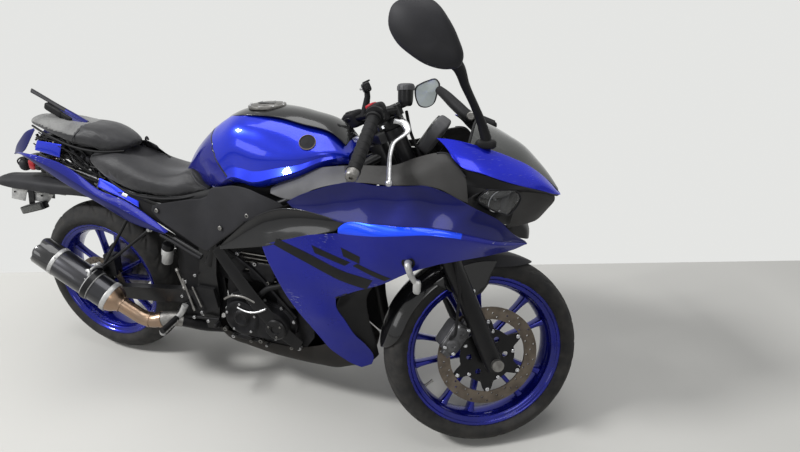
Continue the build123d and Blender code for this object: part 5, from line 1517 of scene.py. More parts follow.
@dataclass
class Controls:
    """Switch boxes, levers and perches on both bars, and the right-hand fluid pot."""

    lever_right: Sequence = ((1052, 33, -147), (1038, 47, -158), (1020, 47, -172),
        (1005, -4, -196), (989, -26, -222), (966, -50, -264), (942, -72, -305))
    lever_left: Sequence = ((1058, 28, 158), (1036, 36, 190), (1016, 36, 222), (1006, 12, 266),
        (994, -24, 314))

    def lever(self, piece: Piece, rows: Sequence, mark: int) -> None:
        """Flat tapering blade along its points, ending in a ball."""
        path = spline(np.stack([on_steering(*row) for row in rows]), 46)
        one, two = frames_along(path)
        share = np.linspace(0, 1, len(path))
        wide = 11.5 - 6.8 * np.sin(np.pi / 2 * np.clip(share * 1.5, 0, 1)) + 1.0 * share
        thin = 4.4 - 0.9 * share
        turn = np.linspace(0, 2 * np.pi, 16, endpoint=False)
        section = np.stack([wide[:, None] * np.cos(turn), thin[:, None] * np.sin(turn)], axis=-1)
        forward = np.broadcast_to(STEER_AHEAD, path.shape)
        tangent = np.cross(one, two)
        across = unit(forward - tangent * (forward * tangent).sum(axis=1, keepdims=True))
        piece.grid(sweep_section(path, across, np.cross(tangent, across), section), closed=True,
            caps=True, mark=mark)
        piece.block(path[-1], UPRIGHT, (8.5, 8.5, 8.5), 1.0, 20, mark=mark)

    def right(self) -> None:
        """Throttle side: housing, red switch, perch, lever and fluid pot."""
        piece = Piece.instead_of("right_controls", (Look.MATTE_BLACK, Look.RED_SWITCH,
            Look.BARE_METAL, Look.SATIN_BLACK, Look.PALE_TRIM, Look.CHROME), "black_trim",
            body="steering", placing=STEERED, sharp=40)
        root, start, end = Handlebars().points(-1)
        inward = unit(root - start)
        ahead = unit(STEER_AHEAD - inward * (STEER_AHEAD @ inward))
        above = np.cross(inward, ahead)
        above *= np.sign(above @ STEER_UP)
        box = start + inward * 27
        axes = (inward, ahead, above)
        piece.block(box + above * 3, axes, (23, 22, 26), 0.45, 36)
        piece.turned(start - inward * 2, start + inward * 8,
            ((0, 11), (0, 23), (0.3, 24), (1, 24), (1, 11)), 36, mark=3)
        piece.block(box + above * 26 - ahead * 8 + inward * 2, axes, (17, 12, 8), 0.4, 18, mark=1)
        piece.block(box + above * 12 - ahead * 21, axes, (9, 4, 6), 0.4, 16, mark=1)
        piece.block(box - above * 8 - ahead * 22, axes, (7, 3.5, 5), 0.6, 14, mark=3)
        perch = start + inward * 32
        knuckle = perch + STEER_AHEAD * 46 - STEER_UP * 8
        piece.rod(spline(np.stack([perch, mixed(perch, knuckle, 0.5) + STEER_UP * 3, knuckle]),
            14), 12.0, 18, mark=3)
        piece.turned(knuckle - STEER_UP * 14, knuckle + STEER_UP * 12,
            ((0, 0.4), (0, 12), (1, 12), (1, 0.4)), 24, mark=3)
        piece.bolt(knuckle + STEER_UP * 12, STEER_UP, 6, 4, mark=5)
        self.lever(piece, self.lever_right, 2)
        pot, up = np.array([1085.0, -151, 1000]), np.array([0, 0, 1.0])
        piece.rod(np.stack([perch + STEER_AHEAD * 20, pot + up * 8]), 9.5, 16, mark=3)
        piece.turned(pot, pot + up * 42, ((0, 0.4), (0, 14), (0.08, 17), (0.3, 18.6), (1, 19.4),
            (1, 0.4)), 40, mark=3)
        piece.turned(pot + up * 38, pot + up * 54, ((0, 19.5), (0, 21.5), (0.6, 21.5),
            (0.72, 20.5), (0.9, 19), (1, 15), (1, 0.4)), 40, mark=4)
        for turn in np.linspace(0, 2 * np.pi, 13)[:-1]:
            rib = pot + up * 44 + 21.2 * np.array([math.cos(turn), math.sin(turn), 0])
            piece.block(rib, UPRIGHT, (1.2, 1.2, 5), 0.7, 8, mark=4)
        banjo = perch + STEER_AHEAD * 44 + np.array([0, 24.0, 0]) - STEER_UP * 4
        piece.turned(banjo, banjo + np.array([0, 14.0, 0]),
            ((0, 0.4), (0, 8), (0.8, 8), (0.8, 6), (1, 6), (1, 0.4)), 16, mark=5)
        piece.build()

    def left(self) -> None:
        """Clutch side: housing, perch standing up, lever and switches."""
        piece = Piece.instead_of("left_controls", (Look.MATTE_BLACK, Look.SATIN_BLACK,
            Look.BARE_METAL, Look.CHROME, Look.RED_SWITCH), "black_trim", body="steering",
            placing=STEERED, sharp=40)
        root, start, end = Handlebars().points(1)
        inward = unit(root - start)
        box = start + inward * 26
        axes = (inward, STEER_AHEAD, STEER_UP)
        piece.block(box, axes, (23, 22, 25), 0.45, 34)
        piece.block(box + STEER_UP * 22 - STEER_AHEAD * 8, axes, (11, 7, 6), 0.5, 16, mark=1)
        piece.block(box - STEER_AHEAD * 20 + STEER_UP * 6, axes, (12, 5, 6), 0.5, 16, mark=1)
        perch = start + inward * 32
        knuckle = perch + STEER_AHEAD * 46 - STEER_UP * 8
        piece.rod(np.stack([perch, knuckle]), 12.0, 18, mark=1)
        piece.turned(knuckle - STEER_UP * 13, knuckle + STEER_UP * 12,
            ((0, 0.4), (0, 12), (1, 12), (1, 0.4)), 24, mark=1)
        self.lever(piece, self.lever_left, 1)
        post = mixed(root, start, 0.35)
        top = post + [2, -16, 96]
        piece.rod(np.stack([post, mixed(post, top, 0.6) + [6, 0, 0], top]),
            np.array([13.0, 9.0, 8.0]), 16)
        head = post + [2, -14, 84]
        piece.block(head, ON_FORK, (13, 12, 15), 0.5, 22, mark=1)
        piece.block(head + STEER_UP * 15 + STEER_AHEAD * 6, ON_FORK, (12, 6, 3), 0.5, 14, mark=1)
        piece.block(head - STEER_AHEAD * 14 + STEER_UP * 2, ON_FORK, (7, 5, 4), 0.6, 12, mark=2)
        piece.build()

    def build(self) -> None:
        """Both sides."""
        self.right()
        self.left()


# ---------------------------------------------------------------- nose, screen and trim
def plate(piece: Piece, table: Sequence, along: int, across: int, mark: int = 0,
        breaks: Sequence[int] = ()) -> None:
    """Adds a curved panel through rows of (x, distance from the middle, z), on both sides."""
    for side in SIDES:
        grid = surface(sided(table, side), along, across, breaks)
        piece.outward_grid(grid, (0, side, 0.3), mark=mark)


@dataclass
class FrontCowl:
    """Blue panels that run down each side of the screen to the pointed nose."""

    rows: Sequence = (((1236, 150, 966), (1250, 153, 956), (1262, 156, 944), (1283, 165, 924)),
        ((1266, 145, 964), (1276, 150, 950), (1288, 158, 930), (1301, 165, 904)),
        ((1310, 130, 953), (1322, 138, 940), (1334, 148, 918), (1345, 156, 890)),
        ((1355, 110, 937), (1366, 120, 924), (1378, 132, 902), (1392, 140, 872)),
        ((1405, 84, 914), (1414, 94, 902), (1424, 106, 882), (1438, 108, 852)),
        ((1448, 59, 889), (1456, 66, 878), (1466, 74, 862), (1478, 70, 834)),
        ((1492, 28, 850), (1498, 34, 842), (1504, 38, 832), (1510, 34, 816)),
        ((1526, 2, 809), (1527, 3, 808), (1528, 3, 807), (1529, 2, 805)))

    def build(self) -> None:
        """Both panels as one object."""
        piece = Piece.instead_of("front_cowl", (Look.BLUE_NOSE,), "blue_paint", wall=3.0,
            bevel=1.0, closed=False, inside=Look.MATTE_BLACK)
        plate(piece, self.rows, 64, 22)
        piece.build()


@dataclass
class Windscreen:
    """Small dark screen lying between the cowl panels, glossy and smoked."""

    rows: Sequence = ((1312, 124, 948, 982), (1350, 108, 934, 966), (1390, 88, 917, 946),
        (1430, 68, 898, 922), (1462, 48, 876, 892), (1492, 28, 850, 860), (1522, 6, 817, 820))

    def build(self) -> None:
        """The arched sheet and its dark edge."""
        share = np.linspace(-1, 1, 9)
        table = [[(x, s * half, edge + (mid - edge) * (1 - abs(s) ** 1.9)) for s in share]
            for x, half, edge, mid in self.rows]
        grid = surface(table, 60, 36)
        piece = Piece.instead_of("windscreen", (Look.SMOKE,), "smoked_screen", wall=3.0, bevel=0.8,
            closed=False)
        piece.outward_grid(grid, (0, 0, 1)).build()
        trim = Piece("screen_rim", (Look.MATTE_BLACK,), "black_trim")
        rear = spline(np.array(table[0], float), 30) - [4, 0, 2]
        trim.rod(rear, 3.2, 10)
        trim.build()


@dataclass
class NosePanel:
    """Dark centre panel between the lamps, the lamp pockets behind it and the chin below."""

    face: Sequence = (((1435, 90, 836), (1428, 92, 806), (1420, 90, 776), (1412, 88, 745),
        (1416, 74, 728)), ((1462, 62, 826), (1458, 64, 800), (1450, 62, 768), (1444, 58, 742),
        (1448, 48, 730)), ((1494, 30, 814), (1494, 32, 796), (1488, 30, 768), (1478, 26, 744),
        (1478, 18, 733)), ((1514, 0, 805), (1518, 0, 789), (1504, 0, 762), (1492, 0, 742),
        (1488, 0, 736)))
    brow: Sequence = (((1286, 163, 900), (1290, 160, 880), (1300, 162, 862)),
        ((1345, 152, 886), (1346, 148, 866), (1350, 146, 850)),
        ((1395, 136, 868), (1400, 128, 852), (1404, 122, 842)),
        ((1445, 104, 848), (1446, 94, 838), (1440, 88, 832)),
        ((1500, 40, 820), (1496, 34, 814), (1490, 30, 812)),
        ((1526, 2, 804), (1520, 2, 800), (1514, 0, 802)))
    pocket: Sequence = (((1316, 178, 824), (1352, 148, 842), (1396, 122, 842), (1440, 86, 830)),
        ((1330, 166, 800), (1350, 130, 815), (1380, 100, 812), (1428, 80, 800)),
        ((1352, 154, 782), (1372, 128, 780), (1398, 104, 775), (1424, 88, 770)),
        ((1390, 134, 756), (1402, 118, 752), (1412, 102, 748), (1420, 88, 740)))
    chin: Sequence = (((1400, 84, 738), (1408, 76, 718), (1420, 62, 700)),
        ((1428, 66, 733), (1436, 54, 710), (1446, 40, 690)),
        ((1452, 30, 729), (1462, 22, 706), (1466, 16, 680)),
        ((1458, 0, 727), (1468, 0, 703), (1470, 0, 676)))

    def build(self) -> None:
        """Face, brow, pockets and chin as one object."""
        piece = Piece.instead_of("nose_panel", (Look.MID_TRIM, Look.SATIN_BLACK), "grey_trim",
            wall=3.0, bevel=1.0, closed=False)
        plate(piece, self.face, 36, 28)
        plate(piece, self.brow, 44, 12, mark=1)
        plate(piece, self.pocket, 26, 30, mark=1)
        plate(piece, self.chin, 22, 16, mark=1)
        piece.build()


@dataclass
class Headlights:
    """Clear lenses over bright bowls with a bezel."""

    lens: Sequence = (((1343, 151, 821), (1350, 149, 834), (1362, 142, 845)),
        ((1362, 145, 806), (1372, 143, 826), (1392, 128, 844)),
        ((1388, 130, 789), (1402, 127, 816), (1422, 110, 841)),
        ((1413, 112, 777), (1426, 106, 800), (1437, 95, 820)))

    def build(self) -> None:
        """Lenses, reflectors and bezels."""
        lens = Piece.instead_of("headlights", (Look.GLASS_CLEAR,), "lamp_lens", wall=2.2,
            bevel=0.6, closed=False)
        plate(lens, self.lens, 30, 22)
        lens.build()
        bowl = Piece("headlight_bowls", (Look.CHROME, Look.GREY_TRIM, Look.SATIN_BLACK),
            "machined_metal", sharp=40)
        for side in SIDES:
            at = np.array([1384.0, side * 112.0, 812.0])
            out = unit((0.66, side * 0.72, -0.1))
            bowl.turned(at - out * 26, at + out * 6, ((0, 0.4), (0.02, 8), (0.14, 15), (0.36, 21),
                (0.7, 25), (1, 27), (1, 29), (0.6, 27.5), (0.2, 20), (0, 11), (-0.04, 0.4)), 40)
            bulb = at - out * 22
            bowl.turned(bulb, bulb + out * 20, ((0, 5), (0.6, 5), (0.85, 4), (1, 2), (1, 0.3)), 16)
            edge = spline(np.concatenate([sided([row[0] for row in self.lens], side),
                sided([row[-1] for row in self.lens[::-1]], side)]), 64, closed=True)
            bowl.grid(tube(np.concatenate([edge, edge[:1]]), 2.4, 8), closed=True, mark=1)
            fin = sided([((1404, 122, 840), (1392, 126, 800), (1400, 118, 782)),
                ((1414, 112, 838), (1408, 110, 800), (1410, 110, 780))], side)
            bowl.grid(surface(fin, 6, 14), mark=1)
        bowl.build()


@dataclass
class InnerPanels:
    """Grey trim inside the top edge of the fairings, up to the dash."""

    rows: Sequence = (((775, 120, 790), (778, 136, 786), (782, 146, 779)),
        ((841, 112, 826), (850, 140, 812), (858, 164, 775)),
        ((905, 112, 852), (915, 150, 838), (926, 179, 815)),
        ((970, 124, 868), (985, 162, 858), (1000, 190, 842)),
        ((1040, 138, 880), (1050, 170, 872), (1060, 197, 853)),
        ((1138, 148, 892), (1140, 180, 880), (1144, 201, 855)),
        ((1190, 150, 915), (1200, 184, 895), (1210, 203, 861)),
        ((1239, 149, 930), (1250, 180, 905), (1262, 201, 856)),
        ((1264, 150, 930), (1280, 176, 902), (1300, 190, 834)),
        ((1311, 168, 882), (1316, 174, 868), (1324, 180, 822)))

    def build(self) -> None:
        """Both panels with a raised edge bead."""
        piece = Piece.instead_of("inner_panels", (Look.PALE_TRIM, Look.MID_TRIM), "grey_trim",
            wall=3.0, bevel=1.0, closed=False)
        start = len(piece.shell.marks)
        plate(piece, self.rows, 84, 22)
        marks = np.zeros((2, 83, 21), int)
        marks[:, 36:, :] = 1
        piece.shell.marks[start:] = marks.ravel().tolist()
        piece.build()
        bead = Piece("inner_panel_beads", (Look.GREY_TRIM,), "grey_trim")
        for side in SIDES:
            line = side_line([(1239, 151, 930), (1264, 151, 930), (1288, 160, 906),
                (1311, 170, 882)], side, 30)
            bead.rod(line, 2.2, 8)
        bead.build()


@dataclass
class Dash:
    """Instrument pod: rounded grey back with a dark face towards the rider."""

    def build(self) -> None:
        """Pod, face, ribs and bracket."""
        piece = Piece.instead_of("dash", (Look.PALE_TRIM, Look.SMOKE, Look.MATTE_BLACK),
            "dark_plastic", sharp=40)
        tilt = math.radians(-32)
        fore = np.array([math.cos(tilt), 0, math.sin(tilt)])
        up = np.array([-math.sin(tilt), 0, math.cos(tilt)])
        axes = (fore, LEFT, up)
        middle = np.array([1206.0, 0, 940.0])
        piece.block(middle, axes, (20, 62, 46), 0.4, 44)
        piece.block(middle - fore * 17, axes, (6, 55, 39), 0.3, 36, mark=1)
        for shift in (-24, 0, 24):
            piece.block(middle + fore * 20 + np.array([0, shift, 0.0]), axes, (3, 5, 22), 0.5, 14,
                mark=2)
        piece.block(middle + fore * 26 - up * 10, axes, (14, 26, 14), 0.4, 24, mark=2)
        piece.build()


@dataclass
class Mirrors:
    """Right mirror standing on its stalk, left one turned down and showing its glass."""

    def housing(self, piece: Piece, outline: Sequence, glass: Array, deep: float,
            mark: int) -> None:
        """A bowl: the outline shrinks as it goes back from the glass's plane.

        Args:
            piece: The piece it goes into.
            outline: Corners of the glass side.
            glass: Unit direction that the glass faces.
            deep: How far the back stands off.
            mark: Material of the bowl; the glass takes the next one.
        """
        edge = spline(outline, 56, closed=True)
        middle = edge.mean(axis=0)
        rows = []
        for share in np.linspace(0, 1, 14):
            shrink = math.cos(share * np.pi / 2) ** 0.55 if share < 1 else 0.02
            rows.append(middle + (edge - middle) * shrink - glass * deep
                * math.sin(share * np.pi / 2) ** 1.2)
        lip = middle + (edge - middle) * 0.95
        rows = [middle + (edge - middle) * 0.93 - glass * 3, lip + glass * 0.5, *rows]
        piece.grid(np.stack(rows), closed=True, caps=True, mark=mark)
        face = [middle + (edge - middle) * share - glass * (1.8 + 0.6 * share)
            for share in (0.94, 0.7, 0.4, 0.02)]
        piece.grid(np.stack(face), closed=True, caps=True, mark=mark + 1)

    def build(self) -> None:
        """Both mirrors with stalks and feet as one object."""
        piece = Piece.instead_of("mirrors", (Look.MATTE_BLACK, Look.GREY_TRIM, Look.MIRROR,
            Look.DULL_METAL), "black_trim", sharp=40)
        stalk = spline([(1345, -112, 962), (1336, -120, 990), (1318, -150, 1040),
            (1298, -200, 1095), (1284, -240, 1140), (1268, -262, 1160)], 40)
        share = np.linspace(0, 1, 40)
        piece.rod(stalk, 12.5 - 4 * np.sin(np.pi * share) + 3 * share**4, 20)
        piece.block((1346.0, -112, 950), UPRIGHT, (24, 15, 12), 0.7, 28)
        outline = [(1156, -292, 1262), (1150, -298, 1225), (1164, -298, 1196), (1198, -296, 1166),
            (1232, -288, 1146), (1262, -280, 1140), (1286, -272, 1146), (1290, -268, 1160),
            (1276, -268, 1205), (1256, -270, 1240), (1232, -274, 1268), (1195, -284, 1276)]
        out = unit((-0.72, 0.60, 0.30))
        self.housing(piece, np.array(outline, float), out, 44, 1)
        arm = spline([(1345, 110, 950), (1318, 112, 958), (1282, 112, 968), (1240, 138, 992),
            (1204, 172, 1014), (1178, 202, 1026)], 36)
        share = np.linspace(0, 1, 36)
        piece.rod(arm, 12 + 4 * np.sin(np.pi * share), 20)
        piece.block((1334.0, 112, 948), UPRIGHT, (20, 11, 11), 0.7, 24)
        knuckle = np.array([1286.0, 104, 972])
        piece.turned(knuckle, knuckle + np.array([0, -14.0, 3]),
            ((0, 12), (0.8, 12), (1, 9), (1, 0.4)), 20, caps=True, mark=3)
        low = [(1101, 240, 1028), (1118, 232, 1040), (1140, 222, 1050), (1166, 208, 1056),
            (1177, 204, 1044), (1171, 212, 1018), (1167, 220, 1000), (1160, 228, 980),
            (1138, 238, 966), (1114, 246, 968), (1100, 248, 992)]
        face = unit((-0.50, -0.80, -0.10))
        self.housing(piece, np.array(low, float), face, 19, 1)
        piece.build()


@dataclass
class NoseDetails:
    """Indicator stubs left hanging from their holes in the fairings."""

    def build(self) -> None:
        """Hole rim and stub on both sides as one object."""
        piece = Piece("indicator_stub", (Look.SATIN_BLACK, Look.PALE_METAL, Look.AMBER),
            "black_trim", sharp=45)
        widths = Field(FLANK_WIDTHS)
        for side in SIDES:
            at = np.array([1196.0, side * (float(widths.at(np.array(1196.0), np.array(660.0)))),
                660.0])
            out = unit((0.1, float(side), -0.1))
            piece.turned(at - out * 6, at + out * 1.6, ((0, 0.4), (0, 15), (1, 17), (1, 11),
                (0.3, 10), (0.3, 0.4)), 32)
            tail = spline(np.stack([at, at + out * 12, at + out * 18 + [8, 0, -20],
                at + out * 14 + [22, 0, -46]]), 20)
            piece.rod(tail, np.linspace(9.5, 6.5, 20), 14, mark=1)
            tip = tail[-1]
            piece.block(tip + [4, 0, -10.0], UPRIGHT, (10, 8, 20), 0.6, 16, mark=1)
        piece.build()


# ---------------------------------------------------------------- middle and tail bodywork
def hull_strip(piece: Piece, upper: Sequence, lower: Sequence, bulge: float, along: int = 60,
        across: int = 12, mark: int = 0) -> None:
    """Panel ruled between two edges of (x, distance, z), bowed outwards along its middle."""
    for side in SIDES:
        grid = between(sided(upper, side), sided(lower, side), along, across)
        ends = np.sin(np.pi * np.linspace(0.02, 0.98, along))[:, None] ** 0.5
        grid[..., 1] += side * bulge * hump(across) * ends
        piece.outward_grid(grid, (0, side, 0), mark=mark)


@dataclass
class TailCowls:
    """Long blue side panels of the tail and the short blocks above them."""

    upper: Sequence = ((-335, 48, 792), (-290, 64, 802), (-244, 79, 805), (-160, 86, 799),
        (-70, 91, 784), (20, 98, 748), (101, 104, 706), (208, 109, 682), (270, 113, 658),
        (340, 120, 624), (385, 125, 600))
    lower: Sequence = ((-336, 50, 788), (-290, 66, 794), (-249, 81, 790), (-165, 90, 758),
        (-82, 97, 722), (10, 105, 688), (98, 111, 658), (170, 116, 630), (227, 120, 610),
        (300, 123, 596), (371, 126, 587))

    def build(self) -> None:
        """Both panels with a soft crease; the half below the crease takes the darker blue as painted shade."""
        piece = Piece.instead_of("tail_cowls", (Look.BLUE_WORN, Look.DEEP_BLUE), "blue_paint",
            wall=3.0, bevel=1.2, closed=False, inside=Look.MATTE_BLACK)
        one, two = spline(self.upper, 40), spline(self.lower, 40)
        fold = mixed(one, two, 0.5) + np.array([0.0, 5.0, 0.0])
        hull_strip(piece, one, fold, 0.8, 90, 8)
        # The lower half, in the darker blue, is painted shade.
        hull_strip(piece, fold, two, 0.8, 90, 8, mark=1)
        piece.build()
        block = Piece("tail_blocks", (Look.BLUE,), "blue_paint", sharp=30, wall=3.0, bevel=1.0,
            closed=False)
        hull_strip(block, ((-172, 78, 856), (-114, 80, 853), (-56, 80, 849)),
            ((-192, 80, 820), (-132, 82, 811), (-74, 84, 802)), 2.0, 24, 8)
        block.build()


@dataclass
class SideCovers:
    """Matte grey covers below the seat's front, with a crease and bolts."""

    rows: Sequence = (((332, 118, 682), (330, 120, 674), (327, 121, 664)),
        ((370, 119, 692), (362, 122, 664), (359, 126, 637)),
        ((420, 118, 704), (414, 124, 660), (408, 131, 614)),
        ((477, 116, 717), (468, 127, 658), (458, 137, 594)),
        ((520, 112, 724), (514, 129, 650), (512, 142, 568)),
        ((545, 112, 735), (548, 131, 660), (543, 145, 561)),
        ((560, 113, 760), (572, 133, 680), (568, 147, 582)),
        ((600, 114, 770), (612, 134, 700), (606, 148, 612)),
        ((640, 118, 779), (652, 136, 722), (648, 150, 645)),
        ((690, 126, 779), (700, 142, 740), (693, 151, 681)),
        ((750, 140, 768), (754, 146, 744), (757, 151, 716)),
        ((815, 150, 752), (818, 150, 749), (821, 150, 746)))

    def build(self) -> None:
        """Both covers and their bolts."""
        piece = Piece.instead_of("side_covers", (Look.GREY_TRIM,), "grey_trim", wall=3.0,
            bevel=1.2, closed=False, sharp=26)
        plate(piece, self.rows, 80, 26, breaks=(5,))
        piece.build()
        bolts = Piece("side_cover_bolts", (Look.DULL_METAL, Look.MATTE_BLACK), "machined_metal")
        for side in SIDES:
            for x, y, z in ((602, 146, 648), (352, 124, 668), (700, 146, 700)):
                at = np.array([x, side * y, z], float)
                out = np.array([0, float(side), 0.12])
                bolts.bolt(at, out, 7.0, 4.0)
            line = side_line([(560, 150, 575), (600, 152, 608), (650, 154, 646), (693, 155, 683)],
                side, 30)
            bolts.rod(line, 2.4, 8, mark=1)
        bolts.build()


@dataclass
class BellyPan:
    """Lower pan under the engine, with bare sides and a folded upper edge."""

    rows: Sequence = (((520, 104, 270), (522, 100, 266), (526, 60, 262), (526, 0, 262)),
        ((564, 106, 246), (566, 96, 210), (568, 68, 200), (568, 0, 200)),
        ((640, 107, 240), (640, 96, 196), (640, 68, 186), (640, 0, 185)),
        ((716, 108, 236), (716, 94, 184), (716, 62, 174), (716, 0, 172)),
        ((824, 106, 240), (824, 92, 178), (824, 58, 168), (824, 0, 166)),
        ((900, 105, 262), (900, 91, 180), (900, 56, 169), (900, 0, 167)),
        ((950, 104, 284), (956, 90, 184), (956, 54, 171), (956, 0, 169)),
        ((1000, 100, 256), (1006, 84, 200), (1008, 46, 186), (1008, 0, 184)),
        ((1046, 94, 224), (1050, 78, 210), (1052, 38, 200), (1052, 0, 198)))

    def build(self) -> None:
        """The pan as one arched sheet."""
        piece = Piece.instead_of("belly_pan", (Look.PAN_BROWN,), "dark_plastic", wall=3.5,
            bevel=1.2, closed=False, sharp=35)
        for side in SIDES:
            piece.outward_grid(surface(sided(self.rows, side), 70, 26), (0, 0, -1))
        piece.build()


@dataclass
class InnerShadePlates:
    """Black plates inside the frame that close the view through the bike: painted shade where the inside lies in
    shadow.
    """

    upper: Sequence = ((180, 100, 706), (300, 96, 708), (420, 100, 716), (560, 98, 756),
        (700, 92, 786), (860, 90, 800), (1010, 92, 770))
    lower: Sequence = ((190, 106, 664), (320, 104, 620), (430, 104, 560), (540, 104, 470),
        (620, 100, 430), (800, 94, 440), (960, 96, 560))

    def build(self) -> None:
        """The plates under the frame's top rail and those behind the pivot."""
        # Dark sheets put where the inside of the frame shows only shade.
        piece = Piece("inner_shields", (Look.MATTE_BLACK,), "black_trim", wall=2.0, closed=False)
        hull_strip(piece, self.upper, self.lower, 1.0, 60, 10)
        hull_strip(piece, ((372, 78, 560), (430, 84, 540), (560, 92, 480)),
            ((372, 78, 400), (440, 88, 340), (580, 96, 300)), 4.0, 30, 10)
        piece.build()


@dataclass
class InnerDucts:
    """Black duct panels behind the front edge of the lower fairings."""

    rows: Sequence = (((1096, 176, 598), (1112, 166, 604), (1126, 158, 608)),
        ((1000, 168, 500), (1040, 140, 520), (1100, 120, 548)),
        ((982, 158, 450), (1012, 128, 462), (1060, 110, 480)),
        ((1006, 142, 380), (1030, 116, 388), (1062, 98, 400)),
        ((1036, 118, 300), (1056, 98, 306), (1080, 84, 316)),
        ((1066, 94, 236), (1080, 82, 244), (1090, 72, 256)))

    def build(self) -> None:
        """Both panels."""
        piece = Piece("inner_ducts", (Look.SATIN_BLACK,), "black_trim", wall=2.5, bevel=1.0,
            closed=False)
        plate(piece, self.rows, 50, 18)
        piece.build()


# ---------------------------------------------------------------- seats and tail end
def places_of(mesh: bpy.types.Mesh) -> Array:
    """Vertex places of a mesh, in metres."""
    flat = np.empty(len(mesh.vertices) * 3, np.float32)
    mesh.vertices.foreach_get("co", flat)
    return flat.reshape(-1, 3)


def settle(made: bpy.types.Object) -> None:
    """Writes an object's modifiers into its mesh."""
    seen = made.evaluated_get(bpy.context.evaluated_depsgraph_get())
    mesh, old = bpy.data.meshes.new_from_object(seen), made.data
    made.modifiers.clear()
    made.data = mesh
    bpy.data.meshes.remove(old)


VOXEL, PRESSURE, CLOTH_STEPS = 0.005, 4.0, 20


def puffed(made: bpy.types.Object, cap: float = 6.0) -> None:
    """Swells a closed pad like foam under its cover, by a short cloth run.

    Args:
        made: The pad.
        cap: Millimetres that a point may move at most.
    """
    even = made.modifiers.new("even", "REMESH")
    even.mode, even.voxel_size = "VOXEL", VOXEL
    settle(made)
    before, scene = places_of(made.data), bpy.context.scene
    cloth = made.modifiers.new("cloth", "CLOTH")
    cloth.settings.use_pressure = True
    cloth.settings.uniform_pressure_force = PRESSURE
    cloth.settings.effector_weights.gravity = 0.0
    for tick in range(1, CLOTH_STEPS + 1):
        scene.frame_set(tick)
    settle(made)
    move = places_of(made.data) - before
    far = np.maximum(np.linalg.norm(move, axis=1, keepdims=True), 1e-9)
    after = before + move * np.minimum(1.0, cap / 1000 / far)
    made.data.vertices.foreach_set("co", after.ravel())
    scene.frame_set(1)
    made.data.polygons.foreach_set("use_smooth", np.ones(len(made.data.polygons), bool))
    smooth = made.modifiers.new("smooth", "SUBSURF")
    smooth.levels = smooth.render_levels = 1


@dataclass
class Seats:
    """Rider's saddle and the lifted passenger pad, both padded, with their piping and painted shade under their
    edges.
    """

    rider: Sequence = ((30, 806, 802, 44, 797, 42), (44, 820, 809, 66, 788, 62),
        (76, 829, 808, 84, 774, 80), (120, 830, 804, 97, 752, 94), (180, 823, 792, 107, 730, 103),
        (240, 803, 774, 112, 716, 108), (300, 784, 762, 114, 711, 110),
        (363, 774, 754, 112, 710, 109), (410, 778, 752, 108, 712, 105),
        (450, 792, 758, 102, 720, 99), (486, 788, 758, 96, 730, 93), (520, 764, 750, 93, 742, 90),
        (534, 752, 748, 91, 744, 89))
    pillion: Sequence = ((-245, 916, 911, 24, 905, 22), (-230, 924, 914, 42, 902, 38),
        (-190, 927, 914, 60, 896, 54), (-100, 924, 902, 82, 878, 76), (10, 912, 886, 90, 852, 84),
        (60, 909, 880, 87, 846, 81), (110, 902, 870, 80, 838, 74), (160, 886, 858, 68, 834, 62),
        (192, 870, 852, 50, 838, 44), (206, 860, 852, 34, 844, 30))
    pale_line: Sequence = ((42.0, 0.0, 900.0), (10.0, -90.0, 870.0))
    upward: float = 0.35
    fill: float = 0.8

    def form(self, table: Sequence, dish: float) -> Array:
        """Closed grid of a pad: crowned or dished top, full sides, flat base."""
        rows = []
        for x, top, edge, half, low, half_low in table:
            side = [(half * 0.45, top), (half * 0.8, top * 0.7 + edge * 0.3), (half, edge),
                (half_low, low + 4), (half_low * 0.85, low)]
            right, left = [(x, -y, z) for y, z in side], [(x, y, z) for y, z in side[::-1]]
            rows.append([(x, 0, top - dish), *right, (x, 0, low), *left])
        return surface(rows, 110, 72, closed=True)

    def build(self) -> None:
        """Both pads, their piping and the painted shade under them."""
        rider = Piece.instead_of("rider_seat", (Look.VINYL,), "seat_vinyl")
        rider.grid(self.form(self.rider, 3.0), closed=True, caps=True)
        puffed(rider.build())
        pillion = Piece.instead_of("pillion_seat", (Look.VINYL, Look.PALE_VINYL), "seat_vinyl")
        pillion.grid(self.form(self.pillion, -2.0), closed=True, caps=True)
        made = pillion.build()
        puffed(made, 5.0)
        self.two_tone(made.data)
        self.seams()

    def two_tone(self, mesh: bpy.types.Mesh) -> None:
        """Gives the pale finish to the upward faces behind a line slanting out from the middle."""
        middles = np.empty(len(mesh.polygons) * 3, np.float32)
        normals = middles.copy()
        mesh.polygons.foreach_get("center", middles)
        mesh.polygons.foreach_get("normal", normals)
        middles, normals = middles.reshape(-1, 3), normals.reshape(-1, 3)
        start, end = PARKED.put(np.array(self.pale_line))
        line = end - start
        offside = np.abs(middles[:, 1] - start[1]) / abs(line[1])
        pale = (middles[:, 0] < start[0] + offside * line[0]) & (normals[:, 2] > self.upward)
        mesh.polygons.foreach_set("material_index", pale.astype(np.int32))

    def seams(self) -> None:
        """Piping, and black rods under both pads' edges that paint the shade in the gap beneath them."""
        seams = Piece("seat_seams", (Look.VINYL, Look.MATTE_BLACK), "seat_vinyl")
        for side in SIDES:
            front = side_line([(452, 46, 796), (474, 76, 785), (500, 92, 768), (535, 93, 750)],
                side, 40)
            seams.rod(front, 2.4, 10)
            fold = side_line([(44, 2, 912), (40, 40, 910), (26, 74, 898), (10, 91, 872),
                (8, 88, 856)], side, 40)
            seams.rod(fold, 1.5, 8)
            # Black rods along the pads' lower edges: painted shade in the gap beneath.
            under = side_line([(84, 62, 786), (120, 80, 762), (170, 98, 734), (240, 108, 710),
                (330, 110, 704), (450, 100, 714), (530, 90, 738)], side, 60)
            seams.rod(under, 5.0, 10, mark=1)
            base = side_line([(-225, 38, 898), (-100, 76, 872), (10, 86, 846), (110, 77, 834),
                (190, 50, 836)], side, 60)
            seams.rod(base, 4.0, 10, mark=1)
        seams.build()


